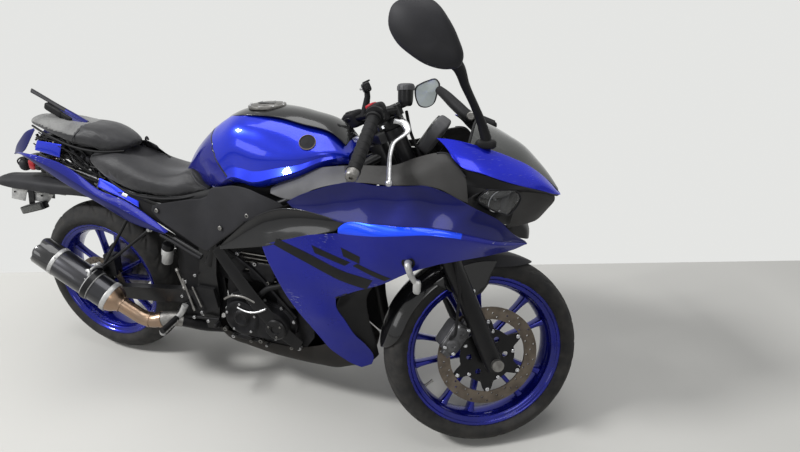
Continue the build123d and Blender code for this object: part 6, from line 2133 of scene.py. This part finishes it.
@dataclass
class TailPanel:
    """Thin panel propped up above the passenger pad, with a catch below it."""

    rows: Sequence = (((-212, -24, 1014), (-213, -20, 1023), (-222, -4, 1014), (-240, 24, 998)),
        ((-170, -24, 996), (-170, -20, 1004), (-182, 2, 990), (-206, 40, 968)),
        ((-103, -24, 966), (-103, -20, 974), (-118, 4, 956), (-150, 50, 928)),
        ((-40, -24, 938), (-40, -20, 947), (-56, 4, 930), (-88, 50, 904)),
        ((18, -22, 912), (20, -18, 919), (4, 4, 908), (-26, 44, 888)))

    def build(self) -> None:
        """The panel, its blue flank and the catch."""
        grid = surface(self.rows, 60, 16)
        piece = Piece.instead_of("tail_panel", (Look.GREY_TRIM, Look.DEEP_BLUE, Look.MATTE_BLACK),
            "dark_plastic", wall=3.0, bevel=1.0, closed=False)
        piece.grid(grid[:38], mark=0, flip=True).grid(grid[37:], mark=1, flip=True)
        top = spline([(-104, -24, 966), (-50, -24, 943), (16, -22, 913)], 30)
        low = spline([(-92, -27, 944), (-50, -28, 928), (2, -25, 909)], 30)
        piece.grid(ruled(top, low, 5), mark=1)
        piece.build()
        catch = Piece("tail_catch", (Look.MATTE_BLACK, Look.GREY_TRIM), "dark_plastic")
        for at, halves in (((-126, -26, 962), (26, 12, 13)), ((-98, -26, 950), (24, 12, 13)),
                ((-64, -24, 936), (28, 12, 9))):
            tilt = turn_about(LEFT, 0.45)
            catch.block(np.array(at), tilt.T, halves, 0.4, 26)
        for x, z in ((-142, 962), (-112, 948)):
            catch.turned((x, -22, z), (x, -27, z), ((0, 4), (1, 4), (1, 1.5)), 12, caps=True,
                mark=1)
        catch.build()


@dataclass
class Electrics:
    """Wiring, connectors and boxes packed between the tail panels and under the pads."""

    seed: int = 7

    def build(self) -> None:
        """Boxes, a loom and loose connectors."""
        draw = np.random.default_rng(self.seed)
        piece = Piece.instead_of("electrics", (Look.MATTE_BLACK, Look.SATIN_BLACK, Look.GREY_TRIM,
            Look.CREAM_GUM), "dark_plastic")

        def low(x: Array) -> Array:
            """Lowest place of the loom."""
            return np.interp(x, (-230, -70, 100, 140), (812, 790, 714, 704))

        def high(x: Array) -> Array:
            """Highest place of the loom."""
            return np.interp(x, (-230, -100, 20, 60, 130), (884, 868, 836, 790, 760))

        for at, halves in (((-110, 0, 812), (70, 44, 30)), ((0, 0, 800), (46, 50, 36)),
                ((74, 0, 762), (28, 60, 26)), ((-180, 0, 838), (26, 40, 26))):
            piece.block(np.array(at, float), UPRIGHT, halves, 0.2, 30, mark=1)
        for side in SIDES:
            for index in range(16):
                x = np.sort(draw.uniform(-215, 130, 5))
                z = low(x) + draw.uniform(0.1, 0.95, 5) * (high(x) - low(x))
                y = side * (draw.uniform(44, 76, 5) + np.interp(x, (-215, 100), (-10, 8)))
                wire = spline(np.stack([x, y, z], axis=1), 50)
                piece.rod(wire, draw.choice([1.6, 2.4, 3.6]), 8, mark=int(index % 4 == 3))
            for _ in range(22):
                x = draw.uniform(-200, 120)
                z = low(x) + draw.uniform(0.0, 0.9) * (high(x) - low(x))
                y = side * (draw.uniform(56, 78) + np.interp(x, (-200, 100), (-14, 8)))
                turn = turn_about(LEFT, draw.uniform(-1.5, 1.5))
                mark = int(draw.choice([0, 1, 2, 2, 3], p=[0.3, 0.25, 0.2, 0.17, 0.08]))
                size = draw.uniform(3, 9, 3) * (0.5 if mark == 3 else 1.0)
                piece.block((x, y, z), turn.T, size, 0.3, 14, mark=mark)
        piece.build()
        strip = Piece("tail_inner_strips", (Look.BLUE, Look.BARE_METAL), "blue_paint", wall=2.0,
            bevel=0.8, closed=False)
        hull_strip(strip, ((96, 88, 744), (150, 90, 728), (208, 94, 706), (262, 100, 682)),
            ((92, 100, 716), (150, 103, 700), (208, 107, 686), (268, 111, 664)), 1.0, 30, 6)
        hull_strip(strip, ((200, 99, 706), (222, 100, 700)), ((192, 103, 696), (214, 104, 690)),
            0.5, 6, 4, mark=1)
        strip.build()


@dataclass
class TailEnd:
    """Blue end plates, the red lamp, the long rear mudguard and the plate holder."""

    end_outer: Sequence = ((-343, 46, 789), (-318, 50, 822), (-288, 50, 850), (-254, 48, 877),
        (-214, 44, 891))
    end_inner: Sequence = ((-282, 66, 800), (-258, 66, 814), (-240, 62, 836), (-226, 56, 858),
        (-208, 48, 886))
    guard: Sequence = (((-527, 0, 664), (-526, 16, 662), (-524, 30, 656), (-520, 32, 650)),
        ((-470, 0, 684), (-468, 24, 681), (-464, 42, 668), (-458, 44, 648)),
        ((-400, 0, 690), (-400, 28, 687), (-398, 46, 674), (-394, 50, 646)),
        ((-300, 0, 698), (-300, 36, 694), (-298, 58, 680), (-296, 60, 650)),
        ((-177, 0, 702), (-177, 44, 698), (-177, 68, 684), (-177, 70, 652)),
        ((-29, 0, 704), (-29, 50, 699), (-29, 72, 688), (-29, 74, 660)),
        ((160, 0, 696), (160, 52, 692), (160, 74, 680), (160, 76, 652)),
        ((328, 0, 666), (328, 52, 662), (328, 70, 652), (328, 74, 634)))

    def build(self) -> None:
        """All of the tail end."""
        ends = Piece("tail_end_plates", (Look.DEEP_BLUE,), "blue_paint", wall=2.5, bevel=1.0,
            closed=False)
        hull_strip(ends, self.end_outer, self.end_inner, 2.0, 30, 8)
        ends.build()
        guard = Piece.instead_of("rear_fender", (Look.GREY_TRIM,), "dark_plastic", wall=3.0,
            bevel=1.2, closed=False, sharp=32)
        plate(guard, self.guard, 90, 22)
        guard.build()
        lamp = Piece.instead_of("tail_lamp", (Look.RED_LENS, Look.SATIN_BLACK, Look.GREY_TRIM),
            "red_lens")
        lamp.block((-292.0, 0, 752), UPRIGHT, (42, 44, 22), 0.3, 40, mark=1)
        for side in SIDES:
            lamp.block((-262.0, side * 47, 752), UPRIGHT, (15, 8, 21), 0.6, 30)
            lamp.block((-312.0, side * 36, 746), UPRIGHT, (22, 22, 24), 0.9, 30, mark=2)
            for x, z, r in ((-228, 744, 12), (-204, 734, 10), (-176, 730, 13), (-286, 776, 8)):
                lamp.block((x, side * 50.0, z), UPRIGHT, (r, 9, r * 0.8), 0.5, 18, mark=1)
            loop = side_line([(-330, 40, 732), (-336, 48, 756), (-300, 52, 778), (-250, 54, 770),
                (-200, 58, 742), (-150, 60, 716)], side, 50)
            lamp.rod(loop, 3.0, 10, mark=1)
        lamp.build()
        self.holder()

    def holder(self) -> None:
        """Pale plates of the number plate holder, its stem and the reflector."""
        piece = Piece("plate_holder", (Look.PALE_METAL, Look.SATIN_BLACK, Look.SMOKE),
            "dark_plastic", ("plate_bracket",))
        for side in SIDES:
            for outline, mark, depth in (
                    (((-408, 646), (-328, 644), (-354, 596), (-425, 600)), 0, 45),
                    (((-302, 640), (-192, 639), (-230, 602), (-298, 603)), 0, 45),
                    (((-316, 652), (-284, 654), (-300, 580), (-328, 580)), 1, 50)):
                flat = np.array([(x, side * depth, z) for x, z in outline], float)
                middle, back = flat.mean(axis=0), np.array([0, -side * 3.0, 0])
                front = middle + (flat - middle) * 0.97 - back * 0.2
                piece.grid(np.stack([flat + back, flat, front]), closed=True, caps=True, mark=mark)
            for x, z in ((-392, 632), (-250, 630), (-306, 636), (-312, 606)):
                piece.bolt((x, side * 48, z), (0, side, 0), 4.0, 3.0, mark=1)
        cross = [(-316, -50, 640), (-316, 50, 640)]
        piece.rod(cross, 6.0, 12, mark=1)
        lean = turn_about(LEFT, -0.28)
        middle = np.array([-286.0, -62, 584])
        piece.block(middle, lean.T, (66, 15, 15), 0.2, 30, mark=1)
        piece.block(middle - [0, 13, 0], lean.T, (58, 4, 11), 0.2, 30, mark=2)
        piece.build()


@dataclass
class LooseCover:
    """Crumpled thin cover standing up beyond the rider's seat."""

    top: Sequence = ((146, 44, 822), (170, 46, 846), (196, 48, 850), (222, 50, 844),
        (256, 52, 826), (286, 54, 798), (314, 56, 770))
    low: Sequence = ((140, 84, 790), (170, 92, 786), (200, 98, 776), (230, 102, 768),
        (262, 104, 760), (290, 104, 752), (316, 102, 748))

    def build(self) -> None:
        """One creased sheet."""
        grid = between(self.top, self.low, 60, 16)
        run, down = np.linspace(0, 1, 60)[:, None], np.linspace(0, 1, 16)
        fold = np.sin(run * 31 + down * 7) * 2.2 + np.sin(run * 13 - 9 * down) * 3
        grid[..., 2] += fold * (0.35 + down)
        grid[..., 1] += fold[::-1] * 1.2
        piece = Piece("loose_cover", (Look.GREY_TRIM,), "dark_plastic", wall=1.6, closed=False,
            sharp=50)
        piece.grid(grid, flip=True)
        tab = spline([(206, 50, 846), (203, 51, 856), (207, 52, 862), (213, 52, 852)], 12)
        piece.rod(tab, 2.0, 8)
        piece.build()


# ---------------------------------------------------------------- exhaust and engine
@dataclass
class Exhaust:
    """Muffler with its bands and scalloped end, and the link pipe in front of it."""

    front: Sequence = (212, -205, 332)
    rear: Sequence = (-84, -236, 514)
    radius: float = 52.0
    pipe: Sequence = ((894, 0, 500), (922, 0, 440), (910, 0, 330), (884, 0, 232), (840, 0, 207),
        (700, -8, 209), (560, -30, 216), (470, -96, 246), (396, -152, 284), (355, -172, 286),
        (318, -184, 280), (282, -190, 286), (246, -197, 308), (208, -206, 335))

    def build(self) -> None:
        """Both, with the hanging band."""
        front, rear = np.array(self.front, float), np.array(self.rear, float)
        long = float(np.linalg.norm(rear - front))
        line = (rear - front) / long
        near, full = 30.0, self.radius

        def ring(*rows: tuple[float, float]) -> Array:
            """Turned band from rows of (millimetres from the front, radius)."""
            return turned_bar(front, rear, [(at / long, r) for at, r in rows], 72)

        shell = Piece.instead_of("muffler", (Look.MUFFLER_DARK, Look.PALE_METAL, Look.BRONZE,
            Look.CARBON), "muffler_shell")
        shell.grid(ring((0, 26), (0, near), (6, near), (16, 37), (28, 45), (42, full - 3),
            (45, full - 2)), closed=True, mark=2)
        shell.grid(ring((42, full - 4), (42, full + 0.6), (44, full + 1.4), (58, full + 1.4),
            (60, full + 0.6), (60, full - 2)), closed=True, mark=1)
        shell.grid(ring((60, full - 2), (61, full - 1), (262, full - 1), (264, full - 2)),
            closed=True)
        shell.grid(ring((262, full - 2), (264, full), (276, full), (278, full - 1)), closed=True,
            mark=1)
        end = ring((276, full - 1), (278, full - 0.4), (long - 8, full - 0.4), (long, full - 4),
            (long + 1, full - 8), (long - 4, full - 14), (long - 70, full - 17),
            (long - 120, full - 18), (long - 120, 1))
        turn = np.linspace(0, 2 * np.pi, 72, endpoint=False)
        wave = 6.0 * np.abs(np.sin(turn * 3)) - 6.0
        end[3:6] += line * wave[None, :, None]
        shell.grid(end, closed=True, mark=3)
        shell.grid(ring((long - 118, 14), (long - 60, 14), (long - 58, 17), (long - 58, 22),
            (long - 119, 22)), closed=True, mark=1)
        for angle in (0.3, 1.35, 2.4, 3.45, 4.5, 5.55):
            one, two = frames_along(np.stack([front, rear]))
            out = one[0] * math.cos(angle) + two[0] * math.sin(angle)
            at = front + line * 270 + out * (full - 0.5)
            shell.bolt(at, out, 3.2, 2.0, mark=1)
        shell.build()
        self.band(front, line)
        self.link()

    def band(self, front: Array, line: Array) -> None:
        """Clamp round the muffler with its ear and bolt."""
        piece = Piece("muffler_band", (Look.PALE_METAL, Look.SATIN_BLACK), "machined_metal")
        for at, wide in ((118, 9), (136, 9)):
            middle = front + line * at
            piece.turned(middle - line * wide / 2, middle + line * wide / 2,
                ((0, 51.5), (0, 53.6), (0.5, 54.4), (1, 53.6), (1, 51.5)), 64)
        middle = front + line * 127
        ear = middle + np.array([10.0, 46.0, 44.0])
        out = unit((-0.1, -0.8, 0.45))
        foot = middle + np.array([4.0, -14.0, 50.0])
        piece.rod(spline([middle + np.array([6, -34, 36.0]), foot, foot + np.array([6, 22, 12.0]),
            ear], 24), 5.0, 12)
        piece.turned(foot - out * 2, foot + out * 7, ((0, 1), (0, 15), (0.8, 15), (1, 12), (1, 6),
            (0.6, 6), (0.6, 1)), 32)
        piece.build()

    def link(self) -> None:
        """Bronze pipe with its joints, and the grey pipe under the engine."""
        piece = Piece.instead_of("exhaust_pipe", (Look.BRONZE, Look.DULL_METAL, Look.CAST_DARK),
            "heated_steel")
        path = spline(self.pipe, 150)
        cut = int(np.argmin(np.abs(path[:, 0] - 352) + (path[:, 1] > -140) * 999))
        dark = int(np.argmin(np.abs(path[:, 0] - 406) + (path[:, 1] > -120) * 999))
        for first, last, mark in ((0, dark, 2), (dark, cut, 1), (cut, 149, 0)):
            piece.rod(path[first : last + 1], 25.6, 32, mark=mark)
        for at, wide, mark in ((cut, 2, 0), (cut + 6, 1, 0), (dark - 1, 3, 1)):
            piece.rod(path[at : at + wide + 1], 27.4, 32, mark=mark)
        piece.build()


@dataclass
class EngineCovers:
    """Round clutch cover with its bolts on the right, alternator cover on the left."""

    edge: Sequence = ((652, 264), (596, 286), (577, 330), (584, 384), (618, 414), (656, 420),
        (712, 412), (760, 396), (806, 380), (832, 342), (828, 300), (796, 272), (730, 262))

    def rim(self, share: float, y: float) -> Array:
        """The cover's outline drawn in towards its middle, at a distance to the side."""
        flat = spline(self.edge, 96, closed=True)
        middle = np.array([700.0, 336.0])
        flat = middle + (flat - middle) * share
        return np.stack([flat[:, 0], np.full(96, y), flat[:, 1]], axis=1)

    def build(self) -> None:
        """Both covers, the parts round them and two metal rods on each that paint highlight arcs."""
        piece = Piece.instead_of("engine_covers", (Look.CAST_DARK, Look.SATIN_BLACK,
            Look.BARE_METAL, Look.DULL_METAL), "engine_cast")
        for side in SIDES:
            rows = [self.rim(s, side * y) for s, y in ((0.98, 100), (1.0, 104), (1.0, 116),
                (0.97, 120), (0.90, 121), (0.87, 124), (0.84, 140), (0.80, 146), (0.4, 149),
                (0.02, 150))]
            piece.grid(np.stack(rows), closed=True)
            flat = self.rim(0.95, side * 119.0)
            for x, y, z in flat[::9]:
                piece.bolt((x, y, z), (0, side, 0), 6.0, 6.0, mark=2)
            hub = np.array([652.0, side * 146.0, 340.0])
            out = side * LEFT
            piece.turned(hub, hub + out * 12, ((0, 62), (0.35, 62), (0.6, 57), (0.65, 48),
                (0.45, 44), (0.45, 30), (0.8, 27), (1.0, 20), (0.7, 14), (0.7, 1)), 56)
            for turn in np.radians([20, 92, 164, 236, 308]):
                at = hub + out * 6 + 53 * towards(turn)
                piece.bolt(at, out, 4.4, 5.0, mark=2)
            cap = np.array([772.0, side * 144.0, 322.0])
            piece.turned(cap, cap + out * 10, ((0, 36), (0.6, 36), (1, 31), (1, 16), (0.6, 14),
                (0.6, 1)), 40, mark=1)
            for turn in np.radians([40, 160, 280]):
                at = cap + out * 9 + 24 * towards(turn)
                piece.bolt(at, out, 3.6, 4.0, mark=3)
            # The two bright metal rods along the cover's lower curve are painted highlight arcs.
            rib = side_line([(594, 150, 400), (630, 156, 422), (672, 156, 424), (706, 152, 410)],
                side, 30)
            piece.rod(rib, 4.0, 10, mark=3)
            rib = side_line([(640, 151, 378), (680, 156, 372), (716, 157, 380), (744, 152, 394)],
                side, 30)
            piece.rod(rib, 3.6, 10, mark=2)
        piece.build()
        self.trim()

    def trim(self) -> None:
        """Hoses, plugs, pegs of the crankcase and the slanted edge bars."""
        piece = Piece("engine_trim", (Look.MATTE_BLACK, Look.BARE_METAL, Look.DULL_METAL,
            Look.CAST_DARK), "engine_cast")
        for side in SIDES:
            out = side * LEFT
            for x, z, r, mark in ((640, 452, 9, 1), (650, 428, 7, 2), (596, 240, 7, 1),
                    (664, 236, 6, 2), (700, 244, 8, 2), (722, 232, 5, 1), (812, 244, 6, 2),
                    (838, 250, 9, 1), (566, 262, 8, 2), (700, 530, 7, 1), (742, 470, 6, 2),
                    (640, 556, 8, 1)):
                piece.bolt((x, side * 112, z), out, r, 14.0, mark=mark)
            hose = side_line([(640, 122, 470), (664, 130, 430), (700, 128, 420), (742, 126, 452),
                (790, 120, 470), (830, 110, 520)], side, 50)
            piece.rod(hose, 9.0, 14)
            hose = side_line([(606, 118, 560), (650, 126, 540), (704, 124, 500), (770, 122, 430),
                (830, 116, 360)], side, 50)
            piece.rod(hose, 6.0, 12, mark=3)
            for at, halves in (((720, 108, 500), (46, 14, 34)), ((800, 106, 430), (36, 12, 44)),
                    ((668, 108, 478), (24, 12, 18)), ((640, 100, 236), (60, 12, 10))):
                piece.block(sided([at], side)[0], UPRIGHT, halves, 0.4, 24, mark=3)
            for k in range(7):
                fin = (700 + 3 * k, side * 112.0, 560 - 14 * k)
                piece.block(fin, UPRIGHT, (52, 6, 2.2), 0.3, 16, mark=2)
        piece.build()
        bars = Piece("edge_bars", (Look.SATIN_BLACK,), "grey_trim", wall=3.0, bevel=1.5,
            closed=False)
        hull_strip(bars, ((594, 146, 592), (664, 150, 506), (733, 148, 418), (800, 140, 340),
            (856, 126, 280)), ((566, 150, 566), (638, 156, 468), (706, 155, 376), (776, 147, 298),
            (836, 130, 244)), 2.0, 60, 8)
        bars.build()


@dataclass
class RearDetails:
    """Pivot caps, rails, bolts and rods behind the engine, hanger ends and foot pegs. The grey rails and the pale
    hanger ends are painted highlights.
    """

    def build(self) -> None:
        """What both sides have, then the hanger's ends and the pegs."""
        piece = Piece("rear_details", (Look.SATIN_BLACK, Look.BARE_METAL, Look.DULL_METAL,
            Look.GREY_TRIM), "machined_metal")
        for side in SIDES:
            out = side * LEFT
            cap = np.array([510.0, side * 131.0, 367.0])
            piece.turned(cap, cap + out * 9, ((0, 20), (0.7, 20), (1, 17), (1, 12), (0.75, 11),
                (0.75, 1)), 32, mark=3)
            # Grey rod laid along the black subframe tube: a painted highlight.
            rail = side_line([(346, 116, 578), (400, 120, 560), (460, 126, 538), (506, 130, 524)],
                side, 40)
            piece.rod(rail, 6.0, 14, mark=3)
            for x, z, y in ((468, 306, 150), (500, 330, 148), (520, 300, 146), (440, 430, 136),
                    (480, 460, 134), (420, 372, 138)):
                piece.bolt((x, side * y, z), out, 6.0, 7.0, mark=1)
            for start, end, r in (((430, 140, 440), (470, 150, 330), 4.0),
                    ((404, 132, 470), (436, 142, 400), 5.0),
                    ((470, 146, 420), (500, 150, 350), 3.0)):
                first, last = sided([start, end], side)
                piece.turned(first, last, ((0, 1), (0, r), (0.1, r * 1.5), (0.16, r), (0.84, r),
                    (0.9, r * 1.5), (1, r), (1, 1)), 14, mark=2)
        piece.build()
        # Pale metal ends on the hanger: painted highlights.
        hanger = Piece("hanger_ends", (Look.PALE_METAL,), "machined_metal")
        for at in ((300, -108, 590), (214, -96, 632), (99, -172, 450)):
            at = np.array(at, float)
            hanger.turned(at + (0, 8, 0), at - (0, 14, 0),
                ((0, 1), (0, 10), (0.6, 10), (0.7, 7), (1, 6), (1, 1)), 20)
        hanger.build()
        self.feet()

    def feet(self) -> None:
        """Heel brackets, ribbed pegs and the brake pedal tip."""
        piece = Piece("foot_pegs", (Look.PALE_METAL, Look.MATTE_BLACK), "machined_metal")
        for side in SIDES:
            arm = side_line([(440, 158, 350), (424, 166, 318), (404, 172, 296), (392, 176, 276)],
                side, 30)
            piece.rod(arm, np.linspace(11, 8, 30), 16)
            arm = side_line([(414, 170, 308), (411, 194, 300), (408, 224, 294), (406, 249, 290)],
                side, 30)
            ribs = 9 + 1.3 * np.sign(np.sin(np.linspace(0, 40, 60)))
            arm = spline(arm, 60)
            piece.rod(arm, ribs, 18)
            piece.block(arm[-1], UPRIGHT, (11, 5, 11), 0.6, 20)
            piece.block(sided([(560, 158, 300)], side)[0], UPRIGHT, (7, 16, 8), 0.5, 20, mark=1)
        piece.build()


@dataclass
class Shock:
    """Rear spring with its pale reservoir, inside the frame."""

    def build(self) -> None:
        """Coils and reservoir."""
        piece = Piece("rear_shock_new", (Look.SATIN_BLACK, Look.BARE_METAL, Look.PALE_METAL),
            "black_metal")
        low, high = np.array([452.0, 0, 330.0]), np.array([420.0, 0, 560.0])
        share = np.linspace(0, 1, 260)
        one = np.cross(unit(high - low), LEFT)
        share = share[:, None]
        turn = share * 2 * np.pi * 7
        ring = (33 * np.cos(turn) * one, 33 * np.sin(turn) * LEFT)
        piece.rod(low + (high - low) * share + ring[0] + ring[1], 6.0, 12)
        tank = np.array([340.0, -96.0, 498.0])
        piece.turned(tank - (0, 0, 34), tank + (10, 0, 20),
            ((0, 1), (0, 17), (0.06, 19), (0.6, 19), (0.62, 21), (0.95, 21), (1, 19), (1, 1)), 32,
            mark=2)
        piece.turned(tank + (10, 0, 20), tank + (18, 0, 42),
            ((0, 1), (0, 20), (0.5, 21), (0.9, 19), (1, 15), (1, 1)), 32)
        piece.build()


PARTS: tuple = (SideFairings, FairingGraphics, VentPanels, FuelTank, TankTop, WheelSets,
    FrontFender, Handlebars, Controls, FrontCowl, Windscreen, NosePanel, Headlights, InnerPanels,
    Dash, Mirrors, NoseDetails, TailCowls, SideCovers, BellyPan, InnerDucts, InnerShadePlates, Seats,
    TailPanel, Electrics, TailEnd, LooseCover, Exhaust, EngineCovers, RearDetails, Shock)


# ---------------------------------------------------------------- studio
@dataclass
class Studio:
    """Camera, pale floor and soft lamps."""

    camera_at: tuple[float, float, float] = (1435.24, -1401.98, 1263.52)
    camera_aim: tuple[float, float, float] = (-0.36751, 0.84669, -0.38478)
    camera_top: tuple[float, float, float] = (-0.12109, 0.36665, 0.92245)
    sensor: float = 36.0
    focal: float = 23.66
    sideways: float = 0.1168
    wall: tuple[float, float, float] = (0.78, 0.785, 0.77)
    around: float = 0.20
    wall_foot: tuple[float, float] = (-1.586, 0.124)
    wall_run: tuple[float, float] = (0.9616, 0.2745)
    floor_corners: Sequence = ((-9, -10), (11, -10), (11, 0), (-9, 0))
    lamps: Sequence = (("ceiling", (-3.8, -2.3, 5.3), 1.0, 400),
        ("over", (0.4, 0.6, 4.6), 3.2, 110), ("key", (2.6, -3.4, 3.0), 1.6, 30),
        ("fill", (-2.4, -3.2, 2.2), 1.2, 14))

    def camera(self) -> None:
        """Places the camera that the scene is seen with."""
        lens = bpy.data.cameras.new("camera")
        lens.sensor_width, lens.lens, lens.shift_x = self.sensor, self.focal, self.sideways
        lens.clip_start, lens.clip_end = 0.05, 60.0
        camera = bpy.data.objects.new("camera", lens)
        back, top = -PARKED.aim(self.camera_aim), PARKED.aim(self.camera_top)
        turn = Matrix(np.stack([np.cross(top, back), top, back], axis=1).tolist()).to_4x4()
        camera.matrix_world = Matrix.Translation(PARKED.put(self.camera_at)) @ turn
        bpy.context.scene.collection.objects.link(camera)
        bpy.context.scene.camera = camera

    def lamp(self, name: str, at: Sequence[float], size: float, power: float) -> None:
        """Adds one square area lamp aimed at the bike."""
        data = bpy.data.lights.new(name, "AREA")
        data.shape, data.size, data.energy = "SQUARE", size, power
        made = bpy.data.objects.new(name, data)
        made.location = at
        aim = Vector((0.1, 0.0, 0.5)) - Vector(at)
        made.rotation_euler = aim.to_track_quat("-Z", "Y").to_euler()
        bpy.context.scene.collection.objects.link(made)

    def floor(self) -> None:
        """A pale floor that ends at the foot of the wall, keeping the bike's shadow."""
        foot, run = np.array(self.wall_foot), np.array(self.wall_run)
        away = np.array([-run[1], run[0]])
        flat = [foot + run * s + away * t for s, t in self.floor_corners]
        mesh = bpy.data.meshes.new("floor")
        mesh.from_pydata([(x, y, 0.0) for x, y in flat], [], [(0, 1, 2, 3)])
        graph = Graph("floor")
        place = graph.wire(graph.node("ShaderNodeTexCoord"), "Object")
        tint = graph.noise(place, 0.7, 2.0)
        graph.set(Base_Color=graph.mix(tint, (0.47, 0.465, 0.44), (0.53, 0.525, 0.50)))
        graph.set(Roughness=0.75)
        mesh.materials.append(graph.material)
        made = bpy.data.objects.new("floor", mesh)
        bpy.context.scene.collection.objects.link(made)

    def world(self) -> None:
        """Dim light all round, with a white wall where the camera looks straight at it."""
        world = bpy.data.worlds.new("studio")
        bpy.context.scene.world = world
        world.use_nodes = True
        tree = world.node_tree
        around, out = tree.nodes["Background"], tree.nodes["World Output"]
        around.inputs["Color"].default_value = (0.93, 0.95, 1.0, 1)
        around.inputs["Strength"].default_value = self.around
        wall = tree.nodes.new("ShaderNodeBackground")
        wall.inputs["Color"].default_value = (*self.wall, 1)
        share, path = tree.nodes.new("ShaderNodeMixShader"), tree.nodes.new("ShaderNodeLightPath")
        seen = path.outputs["Is Camera Ray"]
        for ray in ("Is Glossy Ray", "Is Transmission Ray"):
            either = tree.nodes.new("ShaderNodeMath")
            either.operation = "MAXIMUM"
            tree.links.new(seen, either.inputs[0])
            tree.links.new(path.outputs[ray], either.inputs[1])
            seen = either.outputs[0]
        tree.links.new(seen, share.inputs["Fac"])
        tree.links.new(around.outputs[0], share.inputs[1])
        tree.links.new(wall.outputs[0], share.inputs[2])
        tree.links.new(share.outputs[0], out.inputs["Surface"])

    def build(self) -> None:
        """Everything round the bike."""
        self.camera()
        self.floor()
        self.world()
        for row in self.lamps:
            self.lamp(*row)
        bpy.context.scene.view_settings.view_transform = "Standard"


# ---------------------------------------------------------------- kept nodes
KEPT = {"rear_sprocket": Look.DULL_METAL, "fork_legs": Look.SATIN_BLACK,
    "front_axle": Look.DULL_METAL, "triple_clamps": Look.SATIN_BLACK,
    "main_frame": Look.FRAME_BLACK, "subframe": Look.FRAME_BLACK, "swingarm": Look.FRAME_BLACK,
    "stand_spools": Look.FRAME_BLACK, "rear_axle": Look.DULL_METAL, "rear_caliper": Look.CAST_DARK,
    "chain": Look.CHAIN_STEEL, "chain_guard": Look.MATTE_BLACK, "engine": Look.CAST_DARK,
    "radiator": Look.SATIN_BLACK, "front_stay": Look.SATIN_BLACK, "side_stand": Look.SATIN_BLACK,
    "muffler_hanger": Look.SATIN_BLACK, "footrests": Look.MATTE_BLACK,
    "rear_shock": Look.SATIN_BLACK, "brake_hose": Look.MATTE_BLACK}


def dress_kept() -> None:
    """Gives every kept node its material."""
    bodies = frame["record"]["behaviour"]["bodies"]
    steered = {*bodies["steering"], *bodies["front_wheel"]}
    for name, node in frame["nodes"].items():
        look = KEPT.get(name, Look.GREY_TRIM)
        placing = STEERED if name in steered else PARKED
        node.data.materials.clear()
        node.data.materials.append(material(look, placing))
    log.info("kept nodes dressed")


def main() -> None:
    """Builds the whole scene."""
    logging.basicConfig(level=logging.INFO, format="%(name)s: %(message)s")
    Studio().build()
    dress_kept()
    for part in PARTS:
        part().build()


if __name__ == "__main__":
    main()
